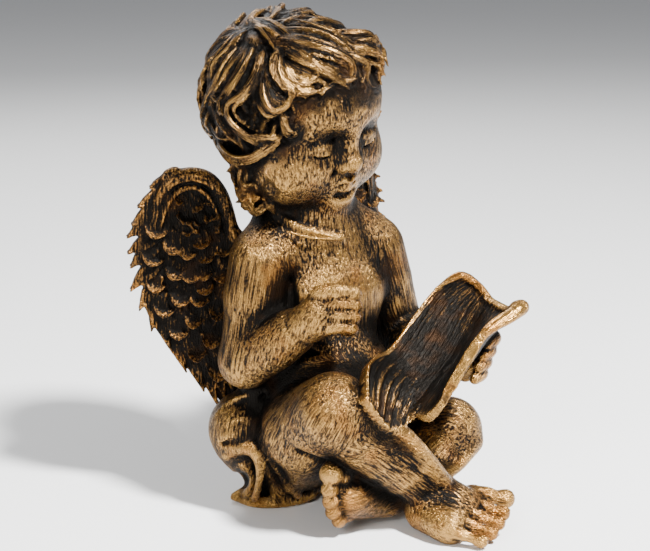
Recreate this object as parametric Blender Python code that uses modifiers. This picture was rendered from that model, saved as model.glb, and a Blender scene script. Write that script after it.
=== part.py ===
"""Seated angel child reading an open book, a single bronze casting, as one closed solid.

The figure faces -Y, its own right side is at -X, and it sits on the plane Z = 0.  Sizes are written
in millimetres; the finished solid is moved to its origin, the middle of its box at ground level,
and scaled to metres.
"""
import math

import bmesh
import bpy
from mathutils import Matrix, Vector

# Driving sizes, in millimetres.
VOXEL = 1.1                  # grain of the solid before it is thinned
SMOOTH_ROUNDS = 3
SOLID_TRIANGLES = 9300
MILLIMETRE = 0.001
GROUND_CUT = 0.001           # points this near the ground count as on it

# Joints of the body: (x, y, z).
SHOULDER_HALF = 26.0
SHOULDER_HEIGHT = 96.0
RIGHT_SHOULDER = Vector((-SHOULDER_HALF, 4, SHOULDER_HEIGHT))
LEFT_SHOULDER = Vector((SHOULDER_HALF, 4, SHOULDER_HEIGHT))
RIGHT_ELBOW = Vector((-32, 5, 60))
LEFT_ELBOW = Vector((37, 3, 61))
RIGHT_WRIST = Vector((-21, -25, 79))
LEFT_WRIST = Vector((39, -33, 57))
RIGHT_HIP = Vector((-15, 4, 24))
LEFT_HIP = Vector((16, 2, 22))
RIGHT_KNEE = Vector((-20, -34, 48))
LEFT_KNEE = Vector((43, -23, 26))
RIGHT_ANKLE = Vector((17, -46, 14))
LEFT_ANKLE = Vector((6, -33, 11))

# The head, and the way it looks: turned a little to its left, bowed, the crown leaning to its right.
HEAD_CENTRE = Vector((-6, 11, 153))
HEAD_TURN = math.radians(12)
HEAD_BOW = math.radians(15)
HEAD_LEAN = math.radians(6)
CRANIUM = (29, 33, 28)
HAIR_LIFT = 0.8
WHORL = Vector((0.42, 0.10, 0.90)).normalized()      # on the crown, in the head's own axes
BROW_HAIRLINE = 13
NAPE_HAIRLINE = -27

# The wings: curved fans that leave the back at an angle.  Reach runs outward and rise runs upward.
WING_ROOT = Vector((13, 18, 98))
WING_SPREAD = math.radians(62)
FAN_CENTRE = (8, 8)
FAN_RADII = (44, 68)
FLIGHTS = 9
FEATHER_THICKNESS = 2.6

BOOK_THICKNESS = 2.8

NO_TURN = Matrix.Identity(3)


def smooth_path(points, steps):
    """Points along a smooth curve through the given ones; each may carry a radius as a fourth value."""
    ends = [points[0]] + list(points) + [points[-1]]
    path = []
    for i in range(1, len(ends) - 2):
        before, start, end, after = (Vector(p) for p in ends[i - 1:i + 3])
        for step in range(steps):
            t = step / steps
            path.append(0.5 * (2 * start + (end - before) * t
                               + (2 * before - 5 * start + 4 * end - after) * t * t
                               + (3 * start - before - 3 * end + after) * t ** 3))
    path.append(Vector(points[-1]))
    return path


def point_on(points, t):
    """The point a share t of the way along a smooth curve through the given points."""
    steps = 12
    path = smooth_path(points, steps)
    place = t * (len(path) - 1)
    index = min(int(place), len(path) - 2)
    return path[index].lerp(path[index + 1], place - index)


def ball(clay, centre, radii, turn=NO_TURN):
    """Adds an ellipsoid whose own axes are turned by a 3x3 matrix."""
    if isinstance(radii, (int, float)):
        radii = (radii, radii, radii)
    place = Matrix.Translation(centre) @ turn.to_4x4() @ Matrix.Diagonal((*radii, 1))
    bmesh.ops.create_icosphere(clay, subdivisions=4 if max(radii) > 8 else 3, radius=1.0, matrix=place)


def guide_object(data):
    """Makes a passing object for a curve or a mesh."""
    guide = bpy.data.objects.new("guide", data)
    bpy.context.scene.collection.objects.link(guide)
    return guide


def take_mesh(clay, guide):
    """Moves the evaluated shape of a guide object into the clay."""
    graph = bpy.context.evaluated_depsgraph_get()
    mesh = bpy.data.meshes.new_from_object(guide.evaluated_get(graph))
    mesh.transform(guide.matrix_world)
    clay.from_mesh(mesh)
    bpy.data.objects.remove(guide)
    bpy.data.meshes.remove(mesh)


def tube(clay, points, steps=5):
    """Adds a round tube with rounded ends; each point is (x, y, z, radius)."""
    path = smooth_path(points, steps)
    curve = bpy.data.curves.new("tube", "CURVE")
    curve.dimensions = "3D"
    curve.bevel_depth = 1.0
    curve.bevel_resolution = 4
    curve.use_fill_caps = True
    spline = curve.splines.new("POLY")
    spline.points.add(len(path) - 1)
    for spot, place in zip(spline.points, path):
        spot.co = (*place[:3], 1.0)
        spot.radius = place[3]
    take_mesh(clay, guide_object(curve))
    bpy.data.curves.remove(curve)
    for end in (path[0], path[-1]):
        ball(clay, Vector(end[:3]), end[3])


def limb(clay, start, start_radius, end, end_radius, belly=0.0):
    """Adds a plump limb segment that swells by belly in its middle."""
    middle = start.lerp(end, 0.45)
    middle_radius = (start_radius + end_radius) / 2 + belly
    tube(clay, [(*start, start_radius), (*middle, middle_radius), (*end, end_radius)])


def add_trunk(clay):
    ball(clay, (0, 12, 24), (27, 22, 23))
    ball(clay, (0, -3, 48), (24, 21, 25))
    ball(clay, (0, 7, 72), (22, 15, 30))
    ball(clay, (0, 3, 80), (22, 15.5, 21))
    for side in (-1, 1):
        ball(clay, (side * 14, 6, 99), (14, 10, 9))
    tube(clay, [(0, 8, 94, 17), (-1, 9, 106, 15), (-4, 14, 124, 14)])


def add_arms(clay):
    limb(clay, RIGHT_SHOULDER, 11.5, RIGHT_ELBOW, 10, belly=0.6)
    limb(clay, RIGHT_ELBOW, 10, RIGHT_WRIST, 7, belly=0.8)
    ball(clay, (-11, -28, 84), (9, 7, 7.5))
    limb(clay, LEFT_SHOULDER, 11.5, LEFT_ELBOW, 10, belly=0.4)
    limb(clay, LEFT_ELBOW, 9.5, LEFT_WRIST, 7)
    ball(clay, (36, -44, 60), (8, 9, 7))
    for finger in range(4):
        drop = finger * 4.0
        tube(clay, [(37 - finger, -47, 64 - drop, 2.8), (31 - finger, -62, 69.5 - drop, 2.4)])


def add_legs(clay):
    limb(clay, RIGHT_HIP, 18, RIGHT_KNEE, 14.5)
    limb(clay, RIGHT_KNEE, 13.5, RIGHT_ANKLE, 7.5, belly=2)
    tube(clay, [(15, -46, 9, 8.5), (23, -58, 8, 9.5), (28, -64, 9, 9)])
    for toe in range(5):
        share = toe / 4
        tube(clay, [(30 - 7 * share, -63 - 4 * share, 11 - 7 * share, 3.4 - share),
                    (37 - 15 * share, -65 - 8 * share, 13.5 - 9.5 * share, 3.4 - share)])
    limb(clay, LEFT_HIP, 18, LEFT_KNEE, 13)
    limb(clay, LEFT_KNEE, 12.5, LEFT_ANKLE, 8, belly=1)
    tube(clay, [(2, -33, 10.5, 7.5), (-6, -33, 10.5, 8), (-14, -33, 10.5, 8)])
    for toe in range(5):
        share = toe / 4
        tube(clay, [(-14, -34, 17 - 13 * share, 3.4 - share), (-19 + share, -35, 18 - 14 * share, 3.3 - share)])


def head_axes():
    """The head's own axes as columns: x to its left, y forward out of the face, z up."""
    half_turn = Matrix.Rotation(math.pi + HEAD_TURN, 3, "Z")
    return half_turn @ Matrix.Rotation(-HEAD_BOW, 3, "X") @ Matrix.Rotation(HEAD_LEAN, 3, "Y") @ \
        Matrix.Diagonal((-1, 1, 1))


def add_head(clay):
    axes = head_axes()

    def mass(centre, radii):
        ball(clay, HEAD_CENTRE + axes @ Vector(centre), radii, axes)

    mass((0, -1, 2), CRANIUM)
    mass((0, -4, 5), [radius + 1.5 for radius in CRANIUM])
    mass((0, 13, -11), (22.5, 19, 21))
    mass((0, 14, 5), (22, 18, 16))
    mass((0, 9, -22), (17, 15, 10))
    mass((0, 25, -28), (7, 6, 5))
    for side in (-1, 1):
        mass((side * 12, 18, -16), (10.5, 10, 9.5))
        mass((side * 10, 27, -4), (5.5, 4.5, 4))
        mass((side * 2.8, 32, -14.5), (2.3, 2.4, 2))
    mass((0, 33.5, -13), (3, 3.4, 3.2))
    mass((0, 29.5, -8), (2.4, 4, 6.5))
    mass((0, 31.5, -20), (5, 2.6, 1.7))
    mass((0, 31, -23), (4, 2.6, 1.8))
    add_hair(clay, axes)


def hairline(direction):
    """The lowest height of the hair over the skull on the side that a direction points to."""
    frontness = direction.y / max(math.hypot(direction.x, direction.y), 0.001)
    if frontness > 0.35:
        return BROW_HAIRLINE * (frontness - 0.35) / 0.65 - 14 * (1 - frontness) / 0.65
    return NAPE_HAIRLINE + 13 * (frontness + 1) / 1.35


def on_skull(direction, lift):
    """The point over the skull in a direction of the head's axes, raised by lift."""
    reach = 1 / math.sqrt(sum((direction[i] / CRANIUM[i]) ** 2 for i in range(3)))
    return Vector((0, -1, 2)) + direction * (reach + lift)


def add_hair(clay, axes):
    """Curly locks that leave the whorl on the crown and wave down to the brow, ears and nape."""
    sideways = WHORL.orthogonal().normalized()
    across = WHORL.cross(sideways)
    rings = ((0.05, 1.0, 13), (0.5, 1.45, 19), (1.0, 1.95, 23), (1.5, 2.6, 23))
    for ring, (start, end, count) in enumerate(rings):
        for lock in range(count):
            heading = 2 * math.pi * (lock + 0.5 * ring) / count
            points = []
            for step in range(7):
                share = step / 6
                fall = start + (end - start) * share
                bend = heading + 0.16 * math.sin(share * 6 + 0.7 * lock) + 0.25 * share
                spread = math.cos(bend) * sideways + math.sin(bend) * across
                direction = (math.cos(fall) * WHORL + math.sin(fall) * spread).normalized()
                lift = HAIR_LIFT + (1.4 if lock % 2 else -0.6) + math.sin(4 * share + lock)
                place = on_skull(direction, lift)
                if place.z < hairline(direction):
                    break
                points.append((*(HEAD_CENTRE + axes @ place), 4.2 * (1 - 0.4 * share)))
            if len(points) > 2:
                tube(clay, points, steps=3)


def leaf(clay, path, width, thickness, normal):
    """Adds a feather: a flat blade along a path, widest in its middle, with a rounded end."""
    blade = bmesh.new()
    spine = smooth_path(path, 4)
    rows = []
    for index, place in enumerate(spine):
        share = index / (len(spine) - 1)
        ahead = spine[min(index + 1, len(spine) - 1)] - spine[max(index - 1, 0)]
        sideways = ahead.cross(normal).normalized()
        half = width / 2 * math.sqrt(max(0.04, 1 - (2 * share - 1) ** 4)) * (0.75 + 0.25 * math.sin(2.6 * share))
        crown = normal * thickness * 0.25
        rows.append([blade.verts.new(place - sideways * half), blade.verts.new(place + crown),
                     blade.verts.new(place + sideways * half)])
    for first, second in zip(rows, rows[1:]):
        for j in range(2):
            blade.faces.new((first[j], first[j + 1], second[j + 1], second[j]))
    mesh = bpy.data.meshes.new("leaf")
    blade.to_mesh(mesh)
    blade.free()
    guide = guide_object(mesh)
    wall = guide.modifiers.new("thickness", "SOLIDIFY")
    wall.thickness = thickness
    wall.offset = 0
    take_mesh(clay, guide)


def add_wing(clay, side):
    """One wing: a raised arm over its top, long curved flight feathers and rows of short scales."""
    out = Vector((side * math.sin(WING_SPREAD), math.cos(WING_SPREAD), 0))
    front = Vector((side * math.cos(WING_SPREAD), -math.sin(WING_SPREAD), 0))
    root = Vector((side * WING_ROOT.x, WING_ROOT.y, WING_ROOT.z))

    def place(reach, rise, forward=0.0):
        return root + out * reach + Vector((0, 0, rise)) + front * forward

    tube(clay, [(*place(-5, -14), 7), (*place(4, 0), 6.5), (*place(12, 14), 5.5), (*place(20, 25), 4.6),
                (*place(30, 27), 4.4), (*place(40, 22), 4), (*place(48, 9), 3.5)])
    ball(clay, place(22, 8), (17, 20, 2.6), Matrix((out, (0, 0, 1), front)).transposed())
    for flight in range(FLIGHTS):
        share = flight / (FLIGHTS - 1)
        turn = math.radians(4 + 78 * share)
        tip = (FAN_CENTRE[0] + FAN_RADII[0] * math.cos(turn), FAN_CENTRE[1] - FAN_RADII[1] * math.sin(turn))
        start = (38 - 32 * share, 20 - 14 * share)
        middle = ((start[0] + tip[0]) / 2 + 5 * share * (1 - share) * 4, (start[1] + tip[1]) / 2)
        forward = -1.5 + 1.0 * (flight % 2)
        leaf(clay, [place(*start, forward), place(*middle, forward), place(*tip, forward)],
             12, FEATHER_THICKNESS, front)
    for row in range(5):
        for spot in range(4):
            start = (11 + 9 * spot - 0.8 * row + 4 * (row % 2), 22 - 10.5 * row - 1.2 * spot)
            tip = (start[0] + 2.5 - 0.6 * row, start[1] - 16)
            if (tip[0] / 50) ** 2 + ((tip[1] - 8) / 66) ** 2 > 0.9:
                continue
            for face in (-1, 1):
                leaf(clay, [place(*start, face * 0.5), place(*tip, face * 4.2)], 11, 2.2, front * face)


def page(clay, gutter, edge, foot, head):
    """Adds one page block as a curved sheet between four smooth edges, with thickness."""
    across = 9
    along = 13
    sheet = bmesh.new()
    rows = []
    corner_a, corner_b = Vector(gutter[0]), Vector(gutter[-1])
    corner_c, corner_d = Vector(edge[0]), Vector(edge[-1])
    for i in range(along + 1):
        u = i / along
        row = []
        for j in range(across + 1):
            v = j / across
            sides = point_on(gutter, u) * (1 - v) + point_on(edge, u) * v
            ends = point_on(foot, v) * (1 - u) + point_on(head, v) * u
            corners = (corner_a * (1 - u) * (1 - v) + corner_b * u * (1 - v)
                       + corner_c * (1 - u) * v + corner_d * u * v)
            row.append(sheet.verts.new(sides + ends - corners))
        rows.append(row)
    for first, second in zip(rows, rows[1:]):
        for j in range(across):
            sheet.faces.new((first[j], first[j + 1], second[j + 1], second[j]))
    mesh = bpy.data.meshes.new("page")
    sheet.to_mesh(mesh)
    sheet.free()
    guide = guide_object(mesh)
    wall = guide.modifiers.new("thickness", "SOLIDIFY")
    wall.thickness = BOOK_THICKNESS
    wall.offset = 0
    take_mesh(clay, guide)
    for rim in (edge, foot, head):
        tube(clay, [(*point, BOOK_THICKNESS / 2) for point in rim])


def add_book(clay):
    """Two curling page blocks that meet in a gutter, propped on the shin and held by the left hand."""
    gutter = [(3, -52, 46.5), (23, -50, 62), (43, -46, 81.5)]
    near_edge = [(-19, -50, 56), (-9.5, -39, 64.5), (7, -32, 67), (30, -27, 83), (40, -32, 89.5)]
    page(clay, gutter, near_edge, [gutter[0], (-9.5, -53, 43.5), near_edge[0]], [gutter[-1], near_edge[-1]])
    far_edge = [(4, -65, 53.5), (22.5, -66, 77.5), (40, -66, 84.5)]
    page(clay, gutter, far_edge, [gutter[0], far_edge[0]], [gutter[-1], far_edge[-1]])


def add_cloth(clay):
    """A bunched cloth under the child that shows at the right hip."""
    ball(clay, (-26, 12, 24), (12, 16, 15))
    ball(clay, (0, 21, 10), (28, 14, 13))
    tube(clay, [(-29, 20, 12, 5.5), (-32, 8, 12, 5), (-27, -1, 10, 4.5)])
    tube(clay, [(-27, 24, 3, 4.5), (-25, 12, 3, 4.5), (-14, 9, 3, 4), (4, 10, 4, 3.5)])
    tube(clay, [(-23, -3, 24, 3.5), (-26, -2, 14, 3.5), (-22, 6, 4, 3)])


def largest_shell(solid):
    """Deletes every loose part of the mesh but the one with the most faces."""
    solid.faces.ensure_lookup_table()
    shells = []
    seen = set()
    for face in solid.faces:
        if face in seen:
            continue
        shell = []
        waiting = [face]
        seen.add(face)
        while waiting:
            current = waiting.pop()
            shell.append(current)
            for edge in current.edges:
                for near in edge.link_faces:
                    if near not in seen:
                        seen.add(near)
                        waiting.append(near)
        shells.append(shell)
    shells.sort(key=len)
    for shell in shells[:-1]:
        bmesh.ops.delete(solid, geom=list(shell), context="FACES")


def fuse(clay):
    """Makes one closed skin round everything in the clay, smoothed and thinned."""
    mesh = bpy.data.meshes.new("fused")
    clay.to_mesh(mesh)
    guide = guide_object(mesh)
    remesh = guide.modifiers.new("skin", "REMESH")
    remesh.mode = "VOXEL"
    remesh.voxel_size = VOXEL
    soften = guide.modifiers.new("soften", "SMOOTH")
    soften.iterations = SMOOTH_ROUNDS
    skin = bmesh.new()
    take_mesh(skin, guide)
    largest_shell(skin)
    bmesh.ops.triangulate(skin, faces=skin.faces[:])
    share = SOLID_TRIANGLES / len(skin.faces)
    whole = bpy.data.meshes.new("whole")
    skin.to_mesh(whole)
    skin.free()
    guide = guide_object(whole)
    thin = guide.modifiers.new("thin", "DECIMATE")
    thin.ratio = share
    solid = bmesh.new()
    take_mesh(solid, guide)
    return solid


def flatten_underside(solid):
    """Cuts the solid on the ground plane and closes each cut with a flat face."""
    everything = solid.verts[:] + solid.edges[:] + solid.faces[:]
    bmesh.ops.bisect_plane(solid, geom=everything, dist=GROUND_CUT, plane_co=(0, 0, 0), plane_no=(0, 0, 1),
                           clear_inner=True)
    rims = [edge for edge in solid.edges if edge.is_boundary]
    bmesh.ops.holes_fill(solid, edges=rims, sides=0)
    bmesh.ops.triangulate(solid, faces=[face for face in solid.faces if len(face.verts) > 3])
    bmesh.ops.recalc_face_normals(solid, faces=solid.faces[:])


def bronze():
    material = bpy.data.materials.new("antique_bronze")
    material.use_nodes = True
    shader = material.node_tree.nodes["Principled BSDF"]
    shader.inputs["Base Color"].default_value = (0.19, 0.11, 0.045, 1)
    shader.inputs["Metallic"].default_value = 0.9
    shader.inputs["Roughness"].default_value = 0.42
    return material


def main():
    for leftover in list(bpy.data.objects):
        bpy.data.objects.remove(leftover)
    clay = bmesh.new()
    add_trunk(clay)
    add_arms(clay)
    add_legs(clay)
    add_head(clay)
    for side in (-1, 1):
        add_wing(clay, side)
    add_book(clay)
    add_cloth(clay)
    solid = fuse(clay)
    clay.free()
    flatten_underside(solid)
    mesh = bpy.data.meshes.new("angel_figure")
    solid.to_mesh(mesh)
    solid.free()
    lowest = Vector([min(v.co[i] for v in mesh.vertices) for i in range(3)])
    highest = Vector([max(v.co[i] for v in mesh.vertices) for i in range(3)])
    middle = (lowest + highest) / 2
    mesh.transform(Matrix.Scale(MILLIMETRE, 4) @ Matrix.Translation((-middle.x, -middle.y, -lowest.z)))
    figure = bpy.data.objects.new("angel_figure", mesh)
    mesh.materials.append(bronze())
    mesh.shade_smooth()
    collection = bpy.data.collections.new("seated_angel")
    bpy.context.scene.collection.children.link(collection)
    collection.objects.link(figure)


main()
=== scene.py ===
import math

import bmesh
import bpy
import numpy as np
import openvdb
from mathutils import Matrix, Vector
from mathutils.kdtree import KDTree


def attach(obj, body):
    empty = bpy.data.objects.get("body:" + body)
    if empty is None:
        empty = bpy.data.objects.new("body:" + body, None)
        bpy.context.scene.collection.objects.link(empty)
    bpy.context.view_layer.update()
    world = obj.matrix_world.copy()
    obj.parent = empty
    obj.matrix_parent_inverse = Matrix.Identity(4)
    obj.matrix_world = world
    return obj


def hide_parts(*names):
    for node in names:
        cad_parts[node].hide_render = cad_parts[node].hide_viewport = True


bl_info = {
    "name": "Seated Angel Casting",
    "version": (1, 0, 0),
    "blender": (4, 5, 0),
    "location": "3D View > Sidebar > Angel",
    "description": "Models a seated bronze angel child reading a book, and its antique finish",
    "category": "Object",
}

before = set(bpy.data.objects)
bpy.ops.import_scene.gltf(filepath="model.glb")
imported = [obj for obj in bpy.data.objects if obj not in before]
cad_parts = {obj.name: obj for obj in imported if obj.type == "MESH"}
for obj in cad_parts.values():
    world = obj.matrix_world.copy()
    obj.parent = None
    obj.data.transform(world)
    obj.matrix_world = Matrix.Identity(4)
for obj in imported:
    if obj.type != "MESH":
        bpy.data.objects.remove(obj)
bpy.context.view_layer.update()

# The casting is modelled in millimetres, standing on Z = 0, facing -Y, its right side at -X.
MILLIMETRE = 0.001
SETBACK = 13.0                       # how far the figure's own origin lies behind the frame's
CLAY_LOW = (-66.0, -80.0, -3.0)
CLAY_HIGH = (66.0, 52.0, 194.0)
FAR = 12.0                           # distances beyond this are not told apart
MESH_REACH = 3.0                     # how far from a mesh its distances are worked out
MARGIN = 3                           # room that is worked on round a shape

RIGHT_SHOULDER = (-26, 4, 96)
LEFT_SHOULDER = (26, 4, 96)
RIGHT_ELBOW = (-32, 5, 60)
LEFT_ELBOW = (37, 3, 61)
RIGHT_WRIST = (-22.5, -24, 80)
LEFT_WRIST = (39, -33, 57)
RIGHT_HIP = (-15, 4, 24)
LEFT_HIP = (16, 2, 22)
RIGHT_KNEE = (-20, -34, 48)
LEFT_KNEE = (43, -23, 26)
RIGHT_ANKLE = (17, -46, 14)
LEFT_ANKLE = (6, -33, 11)

HEAD_CENTRE = np.array((-6.0, 11.0, 153.0))
HEAD_TURN = math.radians(12)
HEAD_BOW = math.radians(15)
HEAD_LEAN = math.radians(6)
SKULL_MIDDLE = (0, -1, 2)
SKULL_RADII = (29, 33, 28)
SCALP_MIDDLE = np.array((0.0, -3.0, 3.5))
SCALP_RADII = (29.5, 33.5, 28.5)
NAPE_MIDDLE = np.array((20.0, 7.0, -23.0))   # the full hair at the nape, to either side
NAPE_RADIUS = 9.0
NAPE_SPREAD = math.radians(15)       # how far round it the surface rises to it
WHORL = (105, 52)                    # crown of the hair: degrees round from the brow, degrees up
# The lowest rise that hair grows at: degrees round from the brow to either side, and degrees up.
HAIRLINE = ((0, 30, 42, 50, 58, 66, 90, 180), (31, 36, 22, -12, -30, -62, -72, -66))
HAIR_REACH = 52                      # hair lies no further than this from the middle of the head
HAIR_DEPTH = 3.6                     # nor further than this from the middle of a lock
STRAND_SIDES = 8
SHAPED_AROUND = (-20, 92)            # the part of the head under the shaped locks: degrees round
SHAPED_RISE = 52                     # and degrees up
SMALL_CURLS = 300                    # how many places are tried for a small curl
CURLS_AROUND = 125                   # how far round either side of the head they grow, in degrees
CURLS_RISE = (-66, 48)
CLUSTER = (-64, -24)                 # the curls that stand out over the brow: degrees round
CLUSTER_RISE = 34                    # and degrees up

WING_ROOT = np.array((13.0, 18.0, 98.0))
WING_SPREAD = (math.radians(62), math.radians(56))   # how far the right and the left wing open
FEATHER_DEPTH = (2.6, 2.4)           # relief of a feather on the front and on the back of a wing
TUFTS = 20                           # small feathers in the hollow of a wing
BOOK_THICKNESS = 2.8
PAGE_LENGTH = 70
PAGE_WIDTH = 22

HAIR_WASH = 0.5                      # how much of the dark wash stays on the hair
PAGE_DARKENING = 1.12                     # how much the pages are darkened
WING_DARKENING = 0.69                     # how much the wings are darkened
WING_COPPER = 0.75                   # how much redder the wings are
MOST_PAINTED_LIGHT = 0.36                   # how much brighter a place with painted light gets at most
HAIR_SQUEEZE = 0.06                  # how much shorter a streak is squeezed along a lock
PAGE_SQUEEZE = 0.08                  # and along a page
LOCK_SHIFT = 17.3                    # moves the streaks of each lock away from the next one's
PAGE_REACH = 2.7                     # how far from the middle of a page its skin may lie

FLOOR_HALF = 12                      # in metres, as is the height that the camera looks at
LOOK_HEIGHT = 0.089


# ---------------------------------------------------------------- meshes

def coordinates(mesh):
    """The places of a mesh's points, one to a row."""
    places = np.empty(len(mesh.vertices) * 3, dtype=np.float32)
    mesh.vertices.foreach_get("co", places)
    return places.reshape(-1, 3)


def triangles(mesh):
    """The points of a mesh's triangles by number, one triangle to a row."""
    mesh.calc_loop_triangles()
    corners = np.empty(len(mesh.loop_triangles) * 3, dtype=np.int32)
    mesh.loop_triangles.foreach_get("vertices", corners)
    return corners.reshape(-1, 3)


def closed_mesh(body, name):
    """A mesh from a bmesh, with its faces turned outwards."""
    bmesh.ops.recalc_face_normals(body, faces=body.faces[:])
    mesh = bpy.data.meshes.new(name)
    body.to_mesh(mesh)
    body.free()
    return mesh


def evaluated_mesh(obj):
    """The mesh that an object's modifiers make of it."""
    graph = bpy.context.evaluated_depsgraph_get()
    return bpy.data.meshes.new_from_object(obj.evaluated_get(graph), depsgraph=graph)


def tree_of(places):
    """Finds the nearest of some places."""
    tree = KDTree(len(places))
    for index, place in enumerate(places):
        tree.insert(place, index)
    tree.balance()
    return tree


def growing_tree(name, guides, own_input, kind, made):
    """A node tree from guides and an input of its own to a realized mesh with a material.  Gives the tree,
    what goes in, where to link what has grown, and the name that a modifier knows its own input by."""
    tree = bpy.data.node_groups.new(name, "GeometryNodeTree")
    tree.interface.new_socket(guides, in_out="INPUT", socket_type="NodeSocketGeometry")
    own = tree.interface.new_socket(own_input, in_out="INPUT", socket_type=kind)
    tree.interface.new_socket("Material", in_out="INPUT", socket_type="NodeSocketMaterial")
    tree.interface.new_socket(made, in_out="OUTPUT", socket_type="NodeSocketGeometry")
    entry = tree.nodes.new("NodeGroupInput")
    real = tree.nodes.new("GeometryNodeRealizeInstances")
    coat = tree.nodes.new("GeometryNodeSetMaterial")
    leave = tree.nodes.new("NodeGroupOutput")
    tree.links.new(real.outputs["Geometry"], coat.inputs["Geometry"])
    tree.links.new(entry.outputs["Material"], coat.inputs["Material"])
    tree.links.new(coat.outputs["Geometry"], leave.inputs[made])
    return tree, entry.outputs, real.inputs["Geometry"], own.identifier


def grown(data, tree, own_input, value):
    """The mesh that a node tree makes of some data."""
    guide = bpy.data.objects.new("guide", data)
    bpy.context.scene.collection.objects.link(guide)
    modifier = guide.modifiers.new("grow", "NODES")
    modifier.node_group = tree
    modifier[own_input] = value
    mesh = evaluated_mesh(guide)
    bpy.data.objects.remove(guide)
    return mesh


# ---------------------------------------------------------------- clay

def smooth_path(points, steps):
    """Points on a smooth curve through the given ones; extra values such as radii are smoothed too."""
    points = np.asarray(points, dtype=float)
    ends = np.vstack((points[:1], points, points[-1:]))
    t = (np.arange(steps) / steps)[:, None]
    path = []
    for before, start, end, after in zip(ends, ends[1:], ends[2:], ends[3:]):
        bend = 2 * before - 5 * start + 4 * end - after
        twist = 3 * start - before - 3 * end + after
        path.append(0.5 * (2 * start + (end - before) * t + bend * t ** 2 + twist * t ** 3))
    return np.vstack(path + [points[-1:]])


class Clay:
    """A block of distances to the skin, negative inside, that shapes are added to and cut from."""

    def __init__(self, grain):
        self.grain = grain
        self.low = np.array(CLAY_LOW)
        self.size = np.ceil((np.array(CLAY_HIGH) - self.low) / grain).astype(int) + 1
        self.field = np.full(self.size, FAR, dtype=np.float32)

    def reach(self, low, high):
        """The slices of the block over a box, and the coordinates there."""
        first = np.maximum(np.floor((np.array(low) - self.low) / self.grain).astype(int), 0)
        last = np.minimum(np.ceil((np.array(high) - self.low) / self.grain).astype(int) + 1, self.size)
        last = np.maximum(last, first)
        spans = tuple(slice(a, b) for a, b in zip(first, last))
        lines = [self.low[i] + self.grain * np.arange(first[i], last[i], dtype=np.float32) for i in range(3)]
        return spans, np.meshgrid(*lines, indexing="ij", sparse=True)

    def join(self, spans, distance, blend):
        """Adds a shape, with a fillet as wide as blend."""
        old = self.field[spans]
        if blend > 0:
            near = np.maximum(blend - np.abs(old - distance), 0) / blend
            self.field[spans] = np.minimum(old, distance) - near * near * blend / 4
        else:
            self.field[spans] = np.minimum(old, distance)

    def cut(self, spans, distance, blend):
        """Takes a shape away, with a rounded edge as wide as blend."""
        old = self.field[spans]
        near = np.maximum(blend - np.abs(old + distance), 0) / blend
        self.field[spans] = np.maximum(old, -distance) + near * near * blend / 4

    def ball(self, centre, radii, axes=None, blend=0.0, hollow=False, keep=None):
        """An ellipsoid.  keep is a plane normal: only the half on its side is used."""
        if isinstance(radii, (int, float)):
            radii = (radii, radii, radii)
        pad = max(radii) + MARGIN + blend
        centre = np.asarray(centre, dtype=float)
        spans, (x, y, z) = self.reach(centre - pad, centre + pad)
        x, y, z = x - centre[0], y - centre[1], z - centre[2]
        side = None if keep is None else -(x * keep[0] + y * keep[1] + z * keep[2])
        if axes is not None:
            m = np.asarray(axes)
            x, y, z = (x * m[0][i] + y * m[1][i] + z * m[2][i] for i in range(3))
        a, b, c = radii
        k0 = np.sqrt((x / a) ** 2 + (y / b) ** 2 + (z / c) ** 2)
        k1 = np.sqrt((x / a / a) ** 2 + (y / b / b) ** 2 + (z / c / c) ** 2) + 1e-5
        distance = np.clip(k0 * (k0 - 1) / k1, -2 * FAR, FAR)
        if side is not None:
            distance = np.maximum(distance, side)
        (self.cut if hollow else self.join)(spans, distance, blend)

    def rope(self, points, blend=0.0, hollow=False, steps=5):
        """A round rope along a smooth path of (x, y, z, radius)."""
        path = smooth_path(points, steps)
        pad = path[:, 3].max() + MARGIN + blend
        spans, (x, y, z) = self.reach(path[:, :3].min(0) - pad, path[:, :3].max(0) + pad)
        nearest = np.full((x.size, y.size, z.size), FAR, dtype=np.float32)
        local = Block(x.ravel(), y.ravel(), z.ravel(), self.grain)
        for start, end in zip(path, path[1:]):
            grow = max(start[3], end[3]) + MARGIN + blend
            low, high = np.minimum(start, end)[:3], np.maximum(start, end)[:3]
            inner, (u, v, w) = local.reach(low - grow, high + grow)
            axis = end[:3] - start[:3]
            length = max(float(axis @ axis), 1e-9)
            u, v, w = u - start[0], v - start[1], w - start[2]
            t = np.clip((u * axis[0] + v * axis[1] + w * axis[2]) / length, 0, 1)
            gap = np.sqrt((u - t * axis[0]) ** 2 + (v - t * axis[1]) ** 2 + (w - t * axis[2]) ** 2)
            gap -= start[3] + t * (end[3] - start[3])
            nearest[inner] = np.minimum(nearest[inner], gap)
        (self.cut if hollow else self.join)(spans, nearest, blend)

    def merge(self, other, blend):
        """Adds everything in another block of clay."""
        self.join((slice(None),) * 3, other.field, blend)

    def take(self, mesh, blend=0.0):
        """Adds the closed surfaces of a mesh; where they overlap they become one."""
        points = (coordinates(mesh) - self.low) / self.grain
        shell = openvdb.FloatGrid.createLevelSetFromPolygons(
            points.astype(np.float32), triangles=triangles(mesh).astype(np.uint32),
            transform=openvdb.createLinearTransform(voxelSize=1.0), halfWidth=MESH_REACH / self.grain)
        distance = np.full(self.size, FAR, dtype=np.float32)
        shell.copyToArray(distance)
        self.join((slice(None),) * 3, distance * self.grain, blend)


class Block:
    """A box of grid lines inside the clay, for working on one rope at a time."""

    def __init__(self, x, y, z, grain):
        self.lines = (x, y, z)
        self.grain = grain

    def reach(self, low, high):
        spans = []
        for line, a, b in zip(self.lines, low, high):
            first = int(np.searchsorted(line, a))
            last = int(np.searchsorted(line, b))
            spans.append(slice(first, max(last, first + 1)))
        lines = [line[span] for line, span in zip(self.lines, spans)]
        return tuple(spans), np.meshgrid(*lines, indexing="ij", sparse=True)


studio = {}                          # the clay, the locks and the pages that the operators share


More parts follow.
